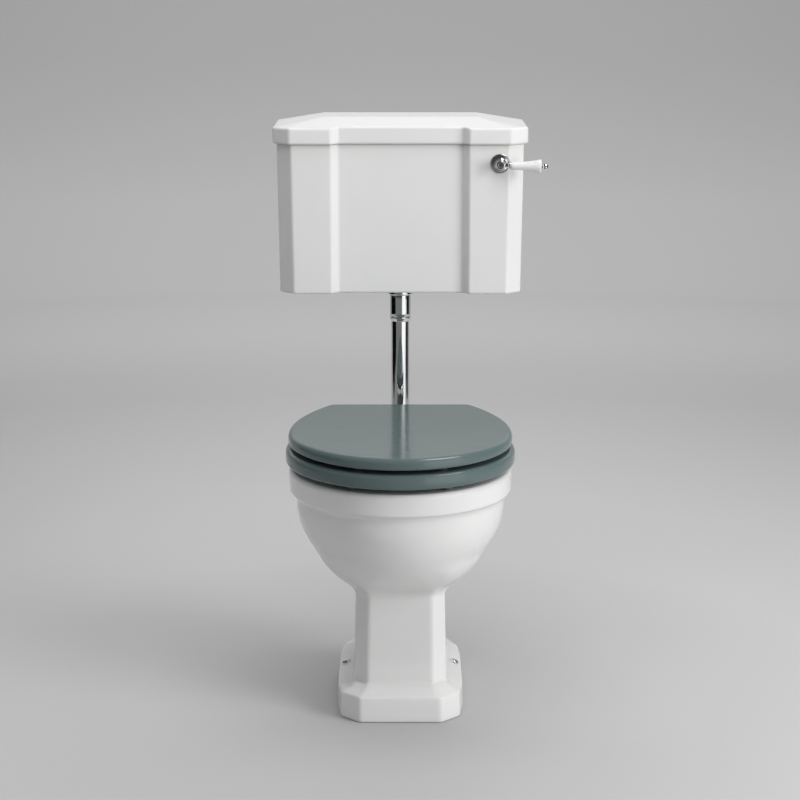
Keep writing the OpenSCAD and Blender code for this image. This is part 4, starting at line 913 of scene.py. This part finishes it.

# Studio
# A pale grey floor that curves up into a round wall, its grey painted lighter and darker by the distance from
# the middle as painted light falloff, soft lamps, and glowing cards that only polished surfaces show, as
# painted reflections. The camera stands where the photograph's did. Sizes are in metres here.


def swept(name, line):
    """A round surface turned about the Z axis from an open line of radius and height."""
    bpy.ops.object.select_all(action="DESELECT")
    bpy.ops.mesh.primitive_circle_add(vertices=len(line) + 1, radius=1)
    piece = bpy.context.object
    piece.name = piece.data.name = name
    for vertex, (r, h) in zip(piece.data.vertices, line + [(0, 0)]):
        vertex.co = (r, 0, h)
    bpy.ops.object.mode_set(mode="EDIT")
    bpy.ops.mesh.select_all(action="DESELECT")
    bpy.ops.object.mode_set(mode="OBJECT")
    piece.data.vertices[len(line)].select = True
    bpy.ops.object.mode_set(mode="EDIT")
    bpy.ops.mesh.delete(type="VERT")
    bpy.ops.mesh.select_all(action="SELECT")
    bpy.ops.mesh.spin(steps=96, angle=2 * math.pi, center=(0, 0, 0), axis=up_z)
    bpy.ops.mesh.select_all(action="SELECT")
    bpy.ops.mesh.remove_doubles(threshold=0.0001)
    bpy.ops.mesh.normals_make_consistent(inside=True)
    bpy.ops.object.mode_set(mode="OBJECT")
    return smoothed(piece, 60)


studio = Finish("studio_grey", specular_ior_level=0.0)
reach = studio.node("ShaderNodeVectorMath", {"operation": "LENGTH"}, {0: studio.place}, "Value")
tones_end = 6.25                                # how far from the middle the last tone is

# The tones go by that distance and paint the floor and wall lighter and darker, as painted light falloff: the
# ramp's two ends first, then the places between.
tones = [(0.0, 0.49), (1.0, 0.36), (0.04, 0.5), (0.08, 0.53), (0.13, 0.57), (0.2, 0.54), (0.28, 0.485),
         (0.36, 0.432), (0.4, 0.411), (0.45, 0.412), (0.54, 0.445), (0.69, 0.471), (0.8, 0.445), (0.85, 0.4),
         (0.88, 0.375)]
stops = [(at, (grey, grey, grey)) for at, grey in tones]
tone = studio.node("ShaderNodeValToRGB", {"stops": stops}, {0: reach * (1 / tones_end)})
studio.coat(tone, 0.42, studio.noise(3, 2), 0.0005, 0.1)
floor_r, cove_r = 4.2, 1.4
floor = swept("studio_floor", [(0, 0), (0.6, 0), (1.2, 0), (2.4, 0), (3.4, 0), (floor_r, 0)])
turns = [math.radians(a) for a in range(4, 91, 5)]
curve = [(floor_r + cove_r * math.sin(a), cove_r - cove_r * math.cos(a)) for a in turns]
wall = [(floor_r, 0), (floor_r + 0.01, 0)] + curve + [(5.6, 1.6), (5.6, 3.0), (5.6, 5.0)]
cove = swept("studio_wall", wall)
for part in (floor, cove):
    part.data.materials.append(studio.material)
cove.visible_diffuse = False

card_reach, card_z, card_high = 1.7, 1.4, 2.8


def screen(name, turn, width, low, high, edge=-0.31, lift=0.0):
    """A glowing card that shows only in polished surfaces, as a painted reflection that lights nothing. Its
    lower and upper tones meet at the height of edge.
    """
    a = math.radians(turn)
    bpy.ops.mesh.primitive_grid_add(x_subdivisions=4, y_subdivisions=4, size=1)
    board = bpy.context.object
    board.name = name
    board.scale = (width, card_high, 1)
    board.rotation_euler = (math.pi / 2, 0, a)
    board.location = (card_reach * math.sin(a), -card_reach * math.cos(a), card_z + lift)
    board.visible_camera = board.visible_diffuse = board.visible_shadow = board.visible_transmission = False
    reflection_card = Finish(name, emission_strength=1.0, specular_ior_level=0.0)
    up = reflection_card.node("ShaderNodeSeparateXYZ", inputs={0: reflection_card.place}, output="Y")
    painted_reflection = reflection_card.mix(reflection_card.share(up, edge - 0.07, edge + 0.07), (low, low, low), (high, high, high))
    painted_reflection = reflection_card.mix(reflection_card.noise(2, 2) * 0.12, painted_reflection, (0.0, 0.0, 0.0))
    reflection_card.coat((0.0, 0.0, 0.0, 1), 1.0, reflection_card.noise(200, 2), 0.001, 0.3, emission_color=painted_reflection)
    board.data.materials.append(reflection_card.material)
    return board


def level(board, width, depth, place):
    """Lays a card flat at a place."""
    board.rotation_euler = (0, 0, 0)
    board.scale = (width, depth, 1)
    board.location = place


# These glowing cards light nothing and are painted reflections: dark at the sides, front and roof, bright low
# on the right, pale behind, a little darker on the floor in front. The window card paints bright highlights
# on rounded edges and chrome.
screen("screen_left", -92, 2.1, 0.003, 0.1, lift=0.12)
screen("screen_front", -18, 2.3, 0.2, 0.06)
screen("screen_lamp", 46, 1.3, 1.3, 0.05, edge=-0.02)
screen("screen_right", 103, 1.1, 0.012, 0.05, lift=0.12)
level(screen("screen_roof", 0, 3.6, 0.02, 0.02), 5, 4.4, (0, 0, 2.8))
level(screen("screen_window", 0, 1.2, 8.5, 8.5), 1.2, 0.9, (1.1, -0.1, 2.55))
level(screen("screen_floor", 0, 3.0, 0.17, 0.17), 3.0, 1.3, (0, -1.05, 0.004))
screen("screen_back", 180, 3.4, 0.67, 0.67).location = (0, 2.2, 2.42)


def lamp(name, place, target, size, watts):
    bpy.ops.object.light_add(type="AREA", location=place)
    light = bpy.context.object
    light.name = name
    light.rotation_euler = (Vector(target) - Vector(place)).to_track_quat("-Z", "Y").to_euler()
    light.data.shape = "RECTANGLE"
    light.data.size, light.data.size_y = size
    light.data.energy = watts
    light.visible_camera = light.visible_glossy = False


lamp("lamp_right", (2.9, -1.9, 1.5), (0, 0, 0.5), (1.7, 2.4), 90)
lamp("lamp_top", (0, -0.4, 2.6), (0, 0, 0), (2.2, 1.8), 30.4)
lamp("lamp_back", (0, 3.0, 3.4), (0, 4.4, 0.2), (2.4, 1.4), 96)

air = 0.287
world = bpy.data.worlds.new("studio_air")
bpy.context.scene.world = world
world.use_nodes = True
world.node_tree.nodes["Background"].inputs["Color"].default_value = (air, air, air, 1)

bpy.ops.object.camera_add(location=(-0.0005, -3.6106, 1.2656), rotation=(math.radians(78.05), 0, 0))
camera = bpy.context.object
camera.data.lens = 100.33
camera.data.sensor_width = 36
bpy.context.scene.camera = camera
bpy.context.scene.view_settings.view_transform = "Standard"
